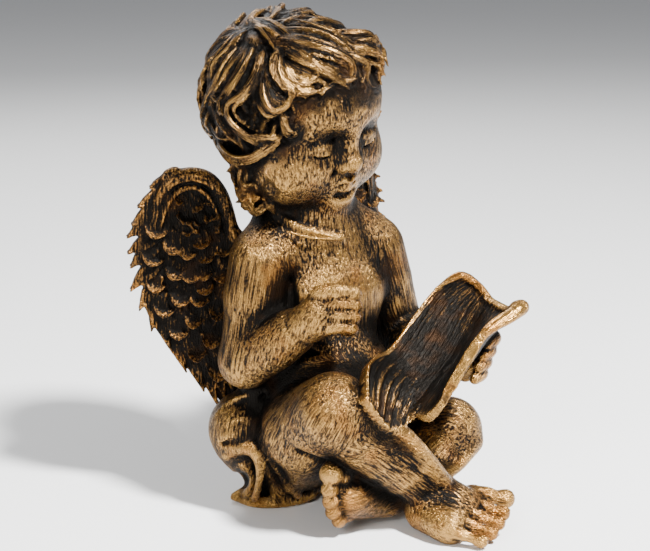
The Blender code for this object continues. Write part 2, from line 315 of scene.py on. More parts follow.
def clay():
    """The block that all the operators work on."""
    return studio["clay"]


def new_clay():
    return Clay(bpy.context.scene.angel_casting.grain)


# ---------------------------------------------------------------- the child

def turn_matrix(axis, angle):
    return np.array(Matrix.Rotation(angle, 3, axis))


def head_axes():
    """The head's own axes as columns: x to its left, y out of the face, z up."""
    return (turn_matrix("Z", math.pi + HEAD_TURN) @ turn_matrix("X", -HEAD_BOW)
            @ turn_matrix("Y", HEAD_LEAN) @ np.diag((-1.0, 1.0, 1.0)))


def in_head(point):
    return HEAD_CENTRE + head_axes() @ np.array(point, dtype=float)


def limb(lump, start, start_radius, end, end_radius, belly=0.0, blend=0.0):
    """A limb that is fullest just short of its middle."""
    middle = [a * 0.55 + b * 0.45 for a, b in zip(start, end)]
    swell = (start_radius + end_radius) / 2 + belly
    lump.rope([(*start, start_radius), (*middle, swell), (*end, end_radius)], blend)


def model_trunk():
    lump = new_clay()
    lump.ball((0, 12, 24), (27, 22, 23))
    lump.ball((0, -4.5, 48), (24.5, 21, 25), blend=10)
    lump.ball((0, 8, 72), (22.5, 15, 30), blend=10)
    lump.ball((0, 1, 79), (22, 14.5, 22), blend=9)
    for side in (-1, 1):
        lump.ball((side * 9.5, -5.5, 83), (10, 6, 9), blend=10)
        lump.ball((side * 14, 6, 99), (14, 10, 9.5), blend=8)
        lump.ball((side * 13, 22, 22), (14, 12, 17), blend=6)
    lump.rope([(0, 8, 94, 18.5), (-1, 8.5, 106, 18), (-4, 14, 122, 17)], blend=7)
    limb(lump, RIGHT_SHOULDER, 11.6, (-29, 4.5, 84), 11.2, blend=7)
    limb(lump, LEFT_SHOULDER, 11.3, (29.5, 3.7, 84), 10.8, blend=7)
    limb(lump, RIGHT_HIP, 18, (-17, -14, 34), 17, blend=8)
    limb(lump, LEFT_HIP, 18, (27, -9, 24), 16, blend=8)
    lump.rope([(-13, 9, 110, 9), (-22, 7, 101, 8)], blend=9)
    lump.rope([(12, 9, 110, 8), (21, 7, 101, 8)], blend=9)
    # The crease low round the neck, below a full roll of the throat, and its fine lower lip.
    lump.rope([(-24, 0, 113, 0.5), (-19, -6, 110.6, 0.9), (-11, -11, 108.4, 0.9), (-2, -12.5, 107.6, 0.9),
               (8, -11, 108, 0.5)], blend=1.5, hollow=True)
    lump.rope([(-21, -4.5, 109.6, 0.4), (-14, -9.8, 107, 0.7), (-5, -12.4, 105.8, 0.7),
               (2, -12.4, 105.6, 0.4)], blend=1.2)
    # The line where the belly folds under the chest.
    lump.rope([(-18, -9, 64, 0.7), (-6, -17, 62, 0.8), (8, -16.5, 62, 0.8), (19, -8, 64, 0.7)],
              blend=4, hollow=True)
    # The groove between the chest and the right arm, and the hollow of the spine.
    lump.rope([(-20, -5, 92, 0.6), (-21, -8.5, 82, 1.4), (-20.5, -10, 72, 1.2)], blend=4.5, hollow=True)
    lump.rope([(0, 23.5, 92, 1.2), (0, 24, 70, 1.5), (0, 30, 44, 1.2)], blend=6, hollow=True)
    # The fold at the foot of the neck.
    fold = [(-25, -1, 118.4), (-20.6, 0.6, 115.4), (-17.4, -2.6, 112.4), (-14, -5.2, 110), (-8, -8.6, 107.6),
            (0, -10.4, 105.8)]
    lump.rope([(x, y + 0.7, z - 0.3, 1.2) for x, y, z in fold], blend=2.2)
    lump.rope([(x * 0.98, y - 0.2, z + 2.4, 0.8) for x, y, z in fold], blend=2, hollow=True)
    return lump


def model_arm(shoulder, elbow, wrist):
    lump = new_clay()
    limb(lump, shoulder, 11, elbow, 10.2, belly=0.5)
    limb(lump, elbow, 10.2, wrist, 6.9, belly=1.4, blend=3)
    ring_crease(lump, elbow, wrist, 0.86, 8.2)
    return lump


def ring_crease(lump, start, end, share, radius):
    """A groove all round a limb, a share of the way along it."""
    start = Vector(start)
    axis = (Vector(end) - start).normalized()
    centre = start.lerp(Vector(end), share)
    side = axis.orthogonal().normalized()
    up = axis.cross(side)
    ring = []
    for step in range(13):
        turn = 2 * math.pi * step / 12
        place = centre + (side * math.cos(turn) + up * math.sin(turn)) * radius
        ring.append((*place, 0.55))
    lump.rope(ring, blend=2.0, hollow=True, steps=3)


def model_right_hand(lump):
    """A loosely closed hand that rests on the chest, fingers stacked one below the other."""
    lump.ball((-19, -27, 84), (7.5, 6, 8.5), blend=5)
    for finger in range(4):
        drop = 4.3 * finger
        slim = 0.12 * finger
        pull = 0.6 * (finger - 1) ** 2
        path = [(-22, -28, 90.5, 3.0), (-17.5, -33, 91.8, 3.0), (-14.5, -34.6, 91.4, 2.3),
                (-11.5, -34.6, 90.6, 2.75), (-9, -32.4, 89.4, 2.3), (-8, -29.4, 88.4, 2.7),
                (-9, -26.5, 87.6, 2.2)]
        lump.rope([(x - pull * 0.5, y, z - drop, thick - slim) for x, y, z, thick in path], blend=0.4)
        lump.ball((-7.3 - pull * 0.5, -31.4, 89.4 - drop), (1.0, 1.4, 1.1), blend=0.4)


def model_left_hand(lump):
    """The hand under the far page, whose knobbly fingers curl up past its edge."""
    lump.ball((34, -42, 60), (7.5, 9, 7), blend=5)
    for finger in range(4):
        drop = 4.1 * finger
        slide = 1.8 * finger
        thick = 2.7 - 0.1 * finger
        path = [(36 - slide * 0.6, -44, 67, 0), (39.5 - slide, -49, 70, 0.35),
                (38.5 - slide, -53, 71.2, -0.35), (35 - slide, -56.5, 71.4, 0.3),
                (31 - slide, -58, 70.5, -0.3)]
        lump.rope([(x, y, z - drop, thick + more) for x, y, z, more in path], blend=0.5)


def model_right_arm():
    lump = model_arm(RIGHT_SHOULDER, RIGHT_ELBOW, RIGHT_WRIST)
    model_right_hand(lump)
    return lump


def model_left_arm():
    lump = model_arm(LEFT_SHOULDER, LEFT_ELBOW, LEFT_WRIST)
    model_left_hand(lump)
    return lump


def model_foot(lump, heel, ball_of_foot, toes, radii):
    """A plump foot: heel, instep and sole, with five toes from the big one to the little one."""
    lump.rope([(*heel, radii[0]), *[(*p, r) for p, r in zip(ball_of_foot, radii[1:])]], blend=3)
    for root, tip, thick in toes:
        root, tip = np.array(root), np.array(tip)
        knuckle, neck = root * 0.62 + tip * 0.38, root * 0.3 + tip * 0.7
        lump.rope([(*root, thick * 0.9), (*knuckle, thick), (*neck, thick * 0.78), (*tip, thick * 1.06)],
                  blend=0.3)
        # The nail, a small flat rise on the top of the tip.
        lump.ball(tip + np.array((0, 0, thick * 0.72)) + (tip - root) * 0.12, (1.5, 1.5, 0.7), blend=0.4)


def model_right_leg():
    lump = new_clay()
    limb(lump, RIGHT_HIP, 17.5, RIGHT_KNEE, 14.2, belly=0.5)
    limb(lump, RIGHT_KNEE, 13.4, RIGHT_ANKLE, 8.2, belly=1.8, blend=1.5)
    # The shin bone, and the fold of fat behind the knee.
    lump.rope([(-16, -44, 52, 2.6), (-4, -52.4, 43, 2.6), (7, -54.4, 31, 2.4), (16, -53, 20, 1.9)], blend=6)
    lump.rope([(-31, -22, 36, 0.9), (-27, -30, 31, 1.1), (-18, -32, 27, 1.0)], blend=3, hollow=True)
    ring_crease(lump, RIGHT_KNEE, RIGHT_ANKLE, 0.95, 8.8)
    toes = (((31, -53, 11.3), (41.5, -58.3, 8.8), 3.5), ((25, -57, 10.6), (35, -64.3, 6.3), 2.7),
            ((19.5, -60, 9.4), (29.5, -68.2, 5), 2.6), ((14, -62.5, 8), (23, -72, 3.9), 2.5),
            ((8.5, -64, 6.4), (16.6, -74, 3), 2.4))
    lump.rope([(10, -49, 7, 6.5), (11, -57, 6.5, 6.5), (12, -62, 5.5, 5.2)], blend=5)
    lump.rope([(31, -52, 9, 5.5), (23, -57, 7.5, 6), (12, -62, 5.5, 5)], blend=5)
    model_foot(lump, (14, -46, 9), [(20, -52, 9.5), (22, -55, 8.5)], toes, (8.4, 8.6, 7))
    # The gaps between the toes.
    for first, second in zip(toes, toes[1:]):
        start, end = ((np.array(first[place]) + np.array(second[place])) / 2 for place in (0, 1))
        lump.rope([(*(start * 0.7 + end * 0.3 + (0, 0, 1.4)), 0.5),
                   (*(start * 0.3 + end * 0.7 + (0, 0, 1.6)), 1.1),
                   (*(end * 1.15 - start * 0.15), 1.2)], blend=0.8, hollow=True)
    return lump


def model_left_leg():
    lump = new_clay()
    limb(lump, LEFT_HIP, 17.5, LEFT_KNEE, 12.8, belly=0.5)
    limb(lump, LEFT_KNEE, 12.2, LEFT_ANKLE, 7.8, belly=1.2, blend=1.5)
    lump.rope([(48, -33, 22, 1.6), (36, -39, 18, 1.8), (22, -41, 14, 1.6)], blend=6)
    toes = (((-14, -34, 22), (-22, -35.5, 25.2), 4.2), ((-14, -34.5, 18), (-23.2, -36, 19.4), 3.0),
            ((-14, -34.5, 14.5), (-22.8, -36, 14.8), 2.9), ((-13, -34.5, 11), (-21.6, -36, 10.6), 2.8),
            ((-12, -34.5, 8), (-19, -36, 6.8), 2.7))
    model_foot(lump, (4, -33, 10.5), [(-6, -33, 13), (-12, -33.5, 14.5)], toes, (8, 9, 9))
    return lump


def carried_across(points):
    """Points given from one side to the middle line, carried on to the other side."""
    return points + [(-x, *rest) for x, *rest in points[-2::-1]]


def model_head():
    """The skull and a calm infant's face on plain proportions: eyes low, cheeks full, lids lowered."""
    lump = new_clay()
    axes = head_axes()

    def mass(centre, radii, blend=4.0, **how):
        lump.ball(in_head(centre), radii, axes, blend, **how)

    def line(points, blend=1.0, **how):
        lump.rope([(*in_head(p[:3]), p[3]) for p in points], blend, **how)

    mass(SKULL_MIDDLE, SKULL_RADII)
    mass((0, 12, 8), (24, 19.5, 18), blend=6)
    mass((0, 9, -12), (27, 20, 21), blend=7)
    mass((0, 5, -23), (25, 20, 15), blend=7)
    mass((0, 19, -17), (14, 10.5, 12), blend=7)
    mass((0, 21.5, -25), (9.5, 8, 8), blend=6)
    mass((0, 24, -28), (6.5, 5.5, 5), blend=5)
    mass((0, 13, -34), (16, 13, 6.5), blend=6)
    for side in (-1, 1):
        mass((side * 16, 14.5, -16.5), (13, 13.5, 12.5), blend=6)
        mass((side * 11, 32.5, -3.5), (7.5, 5.2, 5.0), blend=6, hollow=True)
        model_eye(lump, side, axes)
        model_ear(lump, side)
    line([(0, 28.6, 0, 2.0), (0, 29.8, -6, 2.0), (0, 31.6, -10.5, 2.6)], blend=4)
    mass((0, 32.4, -11.6), (3.4, 3.0, 2.9), blend=2.5)
    for side in (-1, 1):
        mass((side * 3.6, 30.2, -12.6), (2.3, 2.6, 2.2), blend=1.8)
        line([(side * 1.6, 32.2, -15.2, 0.6), (side * 2.0, 31.8, -13.6, 0.7)], blend=0.8, hollow=True)
        line([(side * 6.6, 29, -14, 0.2), (side * 8.6, 27.4, -18.5, 0.4)], blend=3.0, hollow=True)
    # Lips: a bowed upper one, a fuller lower one, and the line and corners between them.
    line(carried_across([(-4.8, 28.6, -19.8, 0.8), (-2.2, 30.6, -18.4, 1.5), (0, 31.2, -18.9, 1.4)]),
         blend=1.5)
    line(carried_across([(-3.8, 28.8, -21, 0.9), (0, 30.2, -21.9, 1.9)]), blend=1.5)
    line(carried_across([(-5.2, 29.0, -20.1, 0.45), (-2.0, 31.9, -19.7, 0.45), (0, 32.5, -20.2, 0.45)]),
         blend=0.7, hollow=True)
    line([(0, 31.6, -15.4, 0.6), (0, 31.4, -17.4, 0.6)], blend=1.4, hollow=True)
    line(carried_across([(-4, 29.4, -24.4, 0.6), (0, 30.2, -24.8, 0.8)]), blend=3.0, hollow=True)
    return lump


def model_ear(lump, side):
    """A small round ear, half under the hair."""
    rim = [(27, 3, -5, 1.2), (31, -1, -1, 1.4), (31.5, -5, -3, 1.4), (30.5, -5.5, -9, 1.3),
           (28, -1, -13, 1.5), (26.5, 2, -13.5, 1.3)]
    lump.ball(in_head((side * 27.5, -1.5, -6.5)), (3, 4.5, 6.5), head_axes(), 1.5)
    lump.rope([(*in_head((side * x, y, z)), r) for x, y, z, r in rim], blend=0.8)


def model_eye(lump, side, axes):
    """One eye, nearly closed: a smooth lid, the slit with its margin, a soft lower lid and the fold above."""
    centre = (side * 10.8, 20.6, -5.0)
    lump.ball(in_head(centre), 7.7, axes, 2.2)

    def arc(slope, reach, radius, width=56, **how):
        path = []
        for step in range(9):
            swing = math.radians(width * (step / 4 - 1))
            drop = math.radians(slope) * math.cos(swing * 1.2)
            path.append((*in_head((centre[0] + reach * math.sin(swing) * math.cos(drop),
                                   centre[1] + reach * math.cos(swing) * math.cos(drop),
                                   centre[2] + reach * math.sin(drop))), radius))
        lump.rope(path, **how)

    arc(-34, 7.5, 0.7, 50, blend=1.2)
    arc(-18, 7.7, 0.55, blend=0.8)
    arc(-25, 8.0, 0.5, blend=0.4, hollow=True)
    arc(24, 8.0, 0.45, 50, blend=1.8, hollow=True)


# ---------------------------------------------------------------- hair

def scalp_way(around, height):
    """The direction from the middle of the skull, in degrees round from the brow to its right and up."""
    a, h = math.radians(around), math.radians(height)
    return np.array((-math.sin(a) * math.cos(h), math.cos(a) * math.cos(h), math.sin(h)))


def nape(side):
    """The middle of the full hair at one side of the nape, on the head's axes."""
    return NAPE_MIDDLE * (side, 1, 1)


def over_scalp(way, lift):
    """The point over the skull or the nape in a direction of the head's axes."""
    way = way / np.linalg.norm(way)
    reach = 1 / math.sqrt(sum((way[i] / SCALP_RADII[i]) ** 2 for i in range(3)))
    for side in (-1, 1):
        full = nape(side) - SCALP_MIDDLE
        far = np.linalg.norm(full)
        turn = math.acos(min(1.0, float(full @ way) / far))
        reach += (far + NAPE_RADIUS - reach) * math.exp(-(turn / NAPE_SPREAD) ** 2)
    return in_head(SCALP_MIDDLE + way * (reach + lift))


def hairline(way):
    """The lowest rise, in degrees, that hair grows at on the side that a direction points to."""
    around = abs(math.degrees(math.atan2(way[0], way[1])))
    return float(np.interp(around, *HAIRLINE))


def lock_strands(path, width, strands, curl=0.0, twist=0.0):
    """Strand centre lines with radii for one lock that follows a path over the head."""
    spine = smooth_path(path, 5)
    if curl:
        spine = np.vstack((spine, hook(spine, curl, width)))
    ahead = np.gradient(spine, axis=0)
    run = np.cumsum(np.linalg.norm(ahead, axis=1))
    ahead /= np.linalg.norm(ahead, axis=1)[:, None] + 1e-9
    outward = spine - HEAD_CENTRE
    outward /= np.linalg.norm(outward, axis=1)[:, None]
    across = np.cross(ahead, outward)
    across /= np.linalg.norm(across, axis=1)[:, None] + 1e-9
    studio["locks"].append((spine, ahead, across, outward, run))
    share = np.linspace(0, 1, len(spine))
    spread = np.interp(share, (0, 0.2, 0.7, 1), (0.55, 1, 0.9, 0.12))
    step = width / strands
    made = []
    for strand in range(strands):
        # A share of its own for each strand, so that no two are alike.
        own = (strand * 0.618 + spine[0, 0] * 0.37) % 1.0
        first, last = 0.12 * own, 1 - 0.25 * ((own * 7.3) % 1.0)
        place = strand - (strands - 1) / 2 + 0.28 * np.sin(6 * share + 6.28 * own)
        slide = place * np.cos(twist * share) * spread * step
        rise = (np.sin(twist * share) * place * 0.5 - 0.14 * place ** 2) * spread * step
        rise = rise + 0.5 * step * (own - 0.5) + 0.25 * np.sin(9 * share + 5 * own)
        line = spine + across * slide[:, None] + outward * rise[:, None]
        thick = np.interp(share, (first, first + 0.15, last - 0.3, last), (0.6, 1, 0.9, 0.22))
        thick = thick * step * (0.42 + 0.18 * ((own * 3.7) % 1.0))
        kept = (share >= first) & (share <= max(last, 0.5))
        made.append(np.column_stack((line, thick))[kept])
    return made


def hook(spine, curl, width):
    """Extra points that curl the end of a lock round on itself."""
    place = spine[-1].copy()
    step = place - spine[-2]
    step /= np.linalg.norm(step)
    axis = (place - HEAD_CENTRE) / np.linalg.norm(place - HEAD_CENTRE)
    points = []
    steps = 9
    for k in range(steps):
        turn = math.radians(curl) / steps
        step = step * math.cos(turn) + np.cross(axis, step) * math.sin(turn)
        place = place + step * width * 0.24 * (1 - 0.05 * k) + axis * 0.12
        points.append(place)
    return np.array(points)


# Full places under the locks: degrees round, degrees up, lift and radius.
SCALP_SWELLS = (
    (112, 50, -3.5, 5.5), (102, 50, -3.5, 6), (92, 50, -3.5, 6.5), (98, 57, -4, 6),
    (84, 27, -3.5, 6.5), (77, 40, -3.5, 6), (78, -2, -3, 6.5), (68, -6, -3, 6.5), (98, -12, -4, 7.5),
    (84, -18, -4, 7.5), (70, -20, -4, 7), (104, -28, -4, 7.5),
    (55, 13, 1.6, 4.2), (-44, 40, 2.5, 5), (-50, 30, 3, 4.2), (-32, 42, 2, 5), (-52, 22, 3.2, 3),
)

# Locks round the right temple and over the brow, where each one is different:
# places as (degrees round, degrees up, lift), then width and end curl.
SHAPED_LOCKS = (
    # Ones that cross the crown, and long ones combed from it over the top.
    (((128, 50, 1), (116, 58, 2), (100, 60, 3), (82, 57, 3.5), (66, 50, 3.5)), 4.2, -90),
    (((150, 56, 1), (125, 62, 2.5), (96, 64, 3.5), (72, 62, 4), (52, 56, 4)), 6.5, 60),
    (((122, 56, 1.5), (117, 46, 2.8), (111, 34, 3.5), (114, 20, 3.5), (106, 8, 3)), 6, 120),
    (((108, 52, 0.5), (108, 66, 1.5), (60, 78, 2.5), (5, 67, 3.5), (-18, 52, 3.5), (-26, 42, 3)), 7, -60),
    (((104, 53, 1), (80, 61, 3), (45, 66, 4), (15, 62, 4.5), (-4, 50, 4.5), (-10, 40, 3.5)), 6.5, -90),
    (((96, 52, 1), (66, 58, 3), (38, 57, 4.5), (15, 50, 5), (2, 40, 4.5), (2, 33, 3)), 6, 60),
    # The wave that falls across the brow, and the smaller one under it.
    (((84, 51, 2), (58, 54, 4.5), (36, 51, 5.5), (16, 45, 6), (3, 37, 5.5), (5, 29, 4), (15, 28, 3)), 7, 70),
    (((70, 50, 2), (52, 48, 4), (40, 42, 5), (28, 36, 5), (14, 30, 4)), 5, 60),
    (((60, 50, 2), (48, 44, 4.5), (34, 39, 5.5), (22, 34, 5), (10, 27, 3.5)), 4, -80),
    # The hook above the temple, the curl beside it and the bulb below.
    (((72, 50, 1), (61, 42, 4), (57, 32, 5), (48, 24, 5), (37, 22, 4.5), (29, 24, 3.5)), 5, 130),
    (((66, 44, 1), (52, 38, 4), (45, 30, 4.5), (36, 29, 4)), 4, 120),
    (((70, 34, 1.5), (66, 25, 4), (61, 16, 5.5), (55, 11, 6), (50, 13, 5.5)), 4.8, 120),
    (((64, 30, 1.5), (60, 22, 3.5), (55, 16, 4.5), (50, 15, 4.5)), 4, 100),
    # The long S at the temple, and the lock that lies flat below it.
    (((90, 50, 1), (76, 41, 3), (72, 28, 4), (76, 15, 5), (84, 5, 5.5), (80, -3, 5.5), (68, -8, 5),
      (56, -7, 4)), 5, 30),
    (((100, 50, 1), (88, 40, 3), (85, 28, 4.2), (88, 16, 4.5), (93, 6, 4)), 5.5, 150),
    (((112, 48, 1), (100, 38, 3), (98, 26, 4.5), (100, 14, 4.5), (107, 3, 4)), 6, 170),
    # The cluster that stands out over the far side of the brow.
    (((-24, 62, 2), (-34, 54, 4.5), (-43, 47, 7), (-44, 42, 7.5)), 5.2, 190),
    (((-16, 54, 2), (-26, 48, 4.5), (-36, 44, 7), (-42, 40, 7)), 4.8, 190),
    (((-28, 46, 4), (-35, 41, 6.5), (-39, 36, 6.5)), 4.2, 210),
    (((-22, 46, 4), (-30, 38, 6), (-35, 32, 6)), 4.0, -210),
    (((-32, 38, 5), (-35, 32, 5.5), (-32, 27, 5)), 3.4, 160),
    (((-46, 55, 2), (-53, 48, 4.5), (-56, 42, 5)), 4.6, 190),
    (((-8, 50, 3), (-16, 43, 5.5), (-26, 37, 7)), 4.6, -190),
    (((4, 48, 3), (-6, 40, 5), (-14, 34, 5), (-12, 28, 3.5)), 4.6, 110),
    (((24, 46, 3), (12, 40, 4.5), (0, 35, 4), (-6, 29, 3)), 4.4, -100),
)

# Locks below the temples and at the nape, on both sides of the head.
SIDE_LOCKS = (
    (((90, 0, 2), (78, -9, 4.5), (64, -13, 4.5), (54, -10, 3)), 4, 90),
    (((106, -20, 2), (96, -27, 5.5), (80, -27, 7), (66, -22, 6.5), (55, -14, 4.5)), 4.6, 20),
    (((112, -8, 2), (104, -18, 4), (92, -20, 4.5), (80, -15, 3.5)), 4, 150),
    (((100, 6, 1), (96, -6, 4), (86, -14, 4.5), (74, -18, 4)), 4, -130),
    # Curls that hang at the nape.
    (((100, -20, 1), (94, -28, 3), (84, -33, 4.5), (72, -33, 4), (62, -29, 3)), 4, 150),
    (((90, -34, 1), (80, -39, 3), (70, -40, 4.5), (60, -37, 4)), 3.8, 160),
    (((104, -34, 1), (96, -43, 3), (84, -47, 4.5), (72, -46, 4.5), (61, -42, 4)), 4, -150),
    (((88, -48, 2), (76, -53, 4), (64, -52, 4.5), (54, -47, 3.5)), 3.8, 150),
    (((108, -44, 1), (100, -53, 3), (86, -59, 4), (72, -60, 4.5), (60, -56, 4)), 4, 140),
    (((84, -62, 2), (70, -66, 4), (56, -63, 4)), 3.8, -150),
    (((120, -30, 1), (118, -42, 3), (112, -52, 4)), 4.6, 120),
    (((130, -24, 1), (128, -36, 3), (120, -46, 4), (112, -52, 3)), 4.6, 120),
)


def fan_locks(rng):
    """Locks that leave the whorl all round and wave down to the hairline."""
    whorl = scalp_way(*WHORL)
    sideways = np.cross(whorl, (0, 0, 1.0))
    sideways /= np.linalg.norm(sideways)
    across = np.cross(whorl, sideways)
    made = []
    # Each layer: where locks start and end, in radians from the whorl; how many; how wide; how high.
    layers = ((0.0, 1.3, 26, 6.0, 0.3), (0.4, 1.8, 30, 6.0, 0.9), (0.95, 2.3, 34, 5.5, 1.3),
              (1.45, 2.7, 36, 5.0, 1.6), (1.9, 3.05, 36, 4.6, 1.8))
    for layer, (start, end, count, width, lift) in enumerate(layers):
        for index in range(count):
            bearing = 2 * math.pi * (index + 0.5 * (layer % 2)) / count
            wave = rng.uniform(0.07, 0.17) * (1 + 0.4 * layer)
            phase = rng.uniform(0, 6.28)
            reach = end + rng.uniform(-0.2, 0.15)
            curl = rng.choice((-1, 1)) * rng.uniform(80, 220)
            twist = rng.uniform(-1.2, 1.2)
            raise_by = rng.uniform(-0.7, 1.8)
            path = []
            for step in range(9):
                share = step / 8
                away = start + (reach - start) * share
                bend = bearing + wave * math.sin(share * (5 + layer) + phase) / max(math.sin(away), 0.35)
                level = math.cos(bend) * sideways + math.sin(bend) * across
                way = math.cos(away) * whorl + math.sin(away) * level
                if math.degrees(math.asin(way[2])) < hairline(way) + 4:
                    break
                height = lift + raise_by * math.sin(math.pi * min(1, share * 1.2))
                path.append(over_scalp(way, height + 0.6 * math.sin(4 * share + phase)))
            if len(path) < 3:
                continue
            if in_shaped_patch(path):
                if layer > 1:
                    continue
                path = [point + (HEAD_CENTRE - point) * 0.04 for point in path]
                curl = 0
            made += lock_strands(path, width, round(width / 1.9), curl if layer else 0, twist)
    return made


def small_curls(rng):
    """Tight little curls that fill the hollows between the shaped locks."""
    lifts = (0.3, 1.8, 2.8, 2.4)
    made = []
    for _ in range(SMALL_CURLS):
        around, rise = rng.uniform(-CURLS_AROUND, CURLS_AROUND), rng.uniform(*CURLS_RISE)
        in_cluster = CLUSTER[0] < around < CLUSTER[1]
        clear = 15 if abs(around) < 48 else 10
        if rise < hairline(scalp_way(around, rise)) + clear or in_cluster and rise < CLUSTER_RISE:
            continue
        turn = rng.uniform(-0.6, 0.6)
        more = 4.6 if in_cluster else 1.4 if abs(around) > 58 and rise < 4 else 0.0
        path = []
        for step, lift in enumerate(lifts):
            drop = (3.6 if in_cluster else 7.5) * step
            way = scalp_way(around + drop * math.sin(turn), rise - drop * math.cos(turn))
            path.append(over_scalp(way, lift + more))
        made += lock_strands(path, 3.4, 2, rng.choice((-1, 1)) * rng.uniform(90, 200))
    return made


def in_shaped_patch(path):
    """True where the shaped locks already cover the head."""
    middle = (path[len(path) // 2] - HEAD_CENTRE) @ head_axes()
    around = math.degrees(math.atan2(-middle[0], middle[1]))
    rise = math.degrees(math.asin(middle[2] / np.linalg.norm(middle)))
    return SHAPED_AROUND[0] < around < SHAPED_AROUND[1] and rise < SHAPED_RISE


def strand_curves(strands):
    """One curve with a line for every strand, each point as thick as the strand is there."""
    curve = bpy.data.curves.new("strands", "CURVE")
    curve.dimensions = "3D"
    for strand in strands:
        spline = curve.splines.new("POLY")
        spline.points.add(len(strand) - 1)
        flat = np.column_stack((strand[:, :3], np.ones(len(strand)))).ravel()
        spline.points.foreach_set("co", flat)
        spline.points.foreach_set("radius", strand[:, 3])
    return curve


def strand_nodes():
    """Geometry nodes that sweep a round section along every strand, as thick as its radius."""
    tree, given, result, sides = growing_tree("angel_strands", "Strands", "Sides", "NodeSocketInt", "Hair")
    section = tree.nodes.new("GeometryNodeCurvePrimitiveCircle")
    radius = tree.nodes.new("GeometryNodeInputRadius")
    sweep = tree.nodes.new("GeometryNodeCurveToMesh")
    section.inputs["Radius"].default_value = 1.0
    sweep.inputs["Fill Caps"].default_value = True
    tree.links.new(given["Sides"], section.inputs["Resolution"])
    tree.links.new(given["Strands"], sweep.inputs["Curve"])
    tree.links.new(section.outputs["Curve"], sweep.inputs["Profile Curve"])
    tree.links.new(radius.outputs["Radius"], sweep.inputs["Scale"])
    tree.links.new(sweep.outputs["Mesh"], result)
    return tree, sides


def model_hair(lump):
    """The full hair under the locks, and over it every lock, with a slimmer one under each shaped lock."""
    rng = np.random.default_rng(11)
    axes = head_axes()
    lump.ball(in_head(SCALP_MIDDLE), SCALP_RADII, axes, 1.5, keep=axes @ np.array((0, -0.42, 0.9)))
    lump.ball(in_head((0, -7, -3)), (27, 25, 24), axes, 2)
    for side in (-1, 1):
        lump.ball(in_head((side * 16.5, -3, -15)), 7, axes, 4)
        lump.ball(in_head(nape(side)), NAPE_RADIUS, axes, 3)
    for around, rise, lift, radius in SCALP_SWELLS:
        lump.ball(over_scalp(scalp_way(around, rise), lift), radius, blend=1.5)
    studio["locks"] = []
    strands = fan_locks(rng) + small_curls(rng)
    other_side = tuple((tuple((-around, rise, lift) for around, rise, lift in path), width, -curl)
                       for path, width, curl in SIDE_LOCKS)
    for path, width, curl in SHAPED_LOCKS + SIDE_LOCKS + other_side:
        over = [over_scalp(scalp_way(around, rise), lift) for around, rise, lift in path]
        strands += lock_strands(over, width, max(3, round(width / 1.6)), curl, 0.6)
        under = [over_scalp(scalp_way(around + 4, rise - 4), max(lift - 2, 0.2))
                 for around, rise, lift in path]
        strands += lock_strands(under, 0.8 * width, max(2, round(width / 2)), 0.6 * curl, 1.2)
    tree, sides = strand_nodes()
    curve = strand_curves(strands)
    mesh = grown(curve, tree, sides, STRAND_SIDES)
    lump.take(mesh, blend=0.2)
    bpy.data.meshes.remove(mesh)
    bpy.data.curves.remove(curve)


# ---------------------------------------------------------------- wings

def vane_mesh(pointed):
    """One feather, one unit wide and long: a hollow blade with a raised lip at its tip, a quill and barbs."""
    columns, rows = 14, 16
    blade = bmesh.new()
    grid = []
    for i in range(rows + 1):
        along = i / rows
        if pointed:
            half = 0.5 * max(0.08, 1 - along ** 2.2) * (0.8 + 0.2 * min(1, along / 0.3))
        else:
            end = max(0.0, (along - 0.45) / 0.55)
            half = 0.5 * math.sqrt(max(0.01, 1 - end ** 2.3)) * (0.7 + 0.3 * min(1, along / 0.45))
        line = []
        for j in range(columns + 1):
            across = 2 * j / columns - 1
            edge = min(half * (1 - abs(across)), 0.7 * (1 - along))
            tip = min(1, max(0, (along - 0.7) / 0.2))
            lip = 0.75 * math.exp(-(edge / 0.1) ** 2) * tip
            hollow = -0.3 * (1 - across ** 2) * min(1, along * 1.6) - 0.35 * across ** 2 * (1 - tip)
            quill = 0.18 * math.exp(-(across / 0.14) ** 2) * (1 - 0.8 * along)
            barbs = 0.12 * math.sin(2 * math.pi * (6 * along - 2.4 * abs(across)))
            line.append(blade.verts.new((across * half, along, lip + hollow + quill + barbs)))
        grid.append(line)
    for first, second in zip(grid, grid[1:]):
        for j in range(columns):
            blade.faces.new((first[j], first[j + 1], second[j + 1], second[j]))
    back = bmesh.ops.extrude_face_region(blade, geom=blade.faces[:])
    for vert in [item for item in back["geom"] if isinstance(item, bmesh.types.BMVert)]:
        vert.co.z -= 0.6
    return closed_mesh(blade, "vane")


def feather_nodes():
    """Geometry nodes that stand a feather on every point, by the point's own turn and size."""
    tree, given, result, vane = growing_tree("angel_feathers", "Places", "Feather", "NodeSocketObject",
                                             "Plumage")
    shape = tree.nodes.new("GeometryNodeObjectInfo")
    stand = tree.nodes.new("GeometryNodeInstanceOnPoints")
    for name, socket in (("turn", "Rotation"), ("size", "Scale")):
        value = tree.nodes.new("GeometryNodeInputNamedAttribute")
        value.data_type = "FLOAT_VECTOR"
        value.inputs["Name"].default_value = name
        tree.links.new(value.outputs["Attribute"], stand.inputs[socket])
    tree.links.new(given["Places"], stand.inputs["Points"])
    tree.links.new(given["Feather"], shape.inputs["Object"])
    tree.links.new(shape.outputs["Geometry"], stand.inputs["Instance"])
    tree.links.new(stand.outputs["Instances"], result)
    return tree, vane


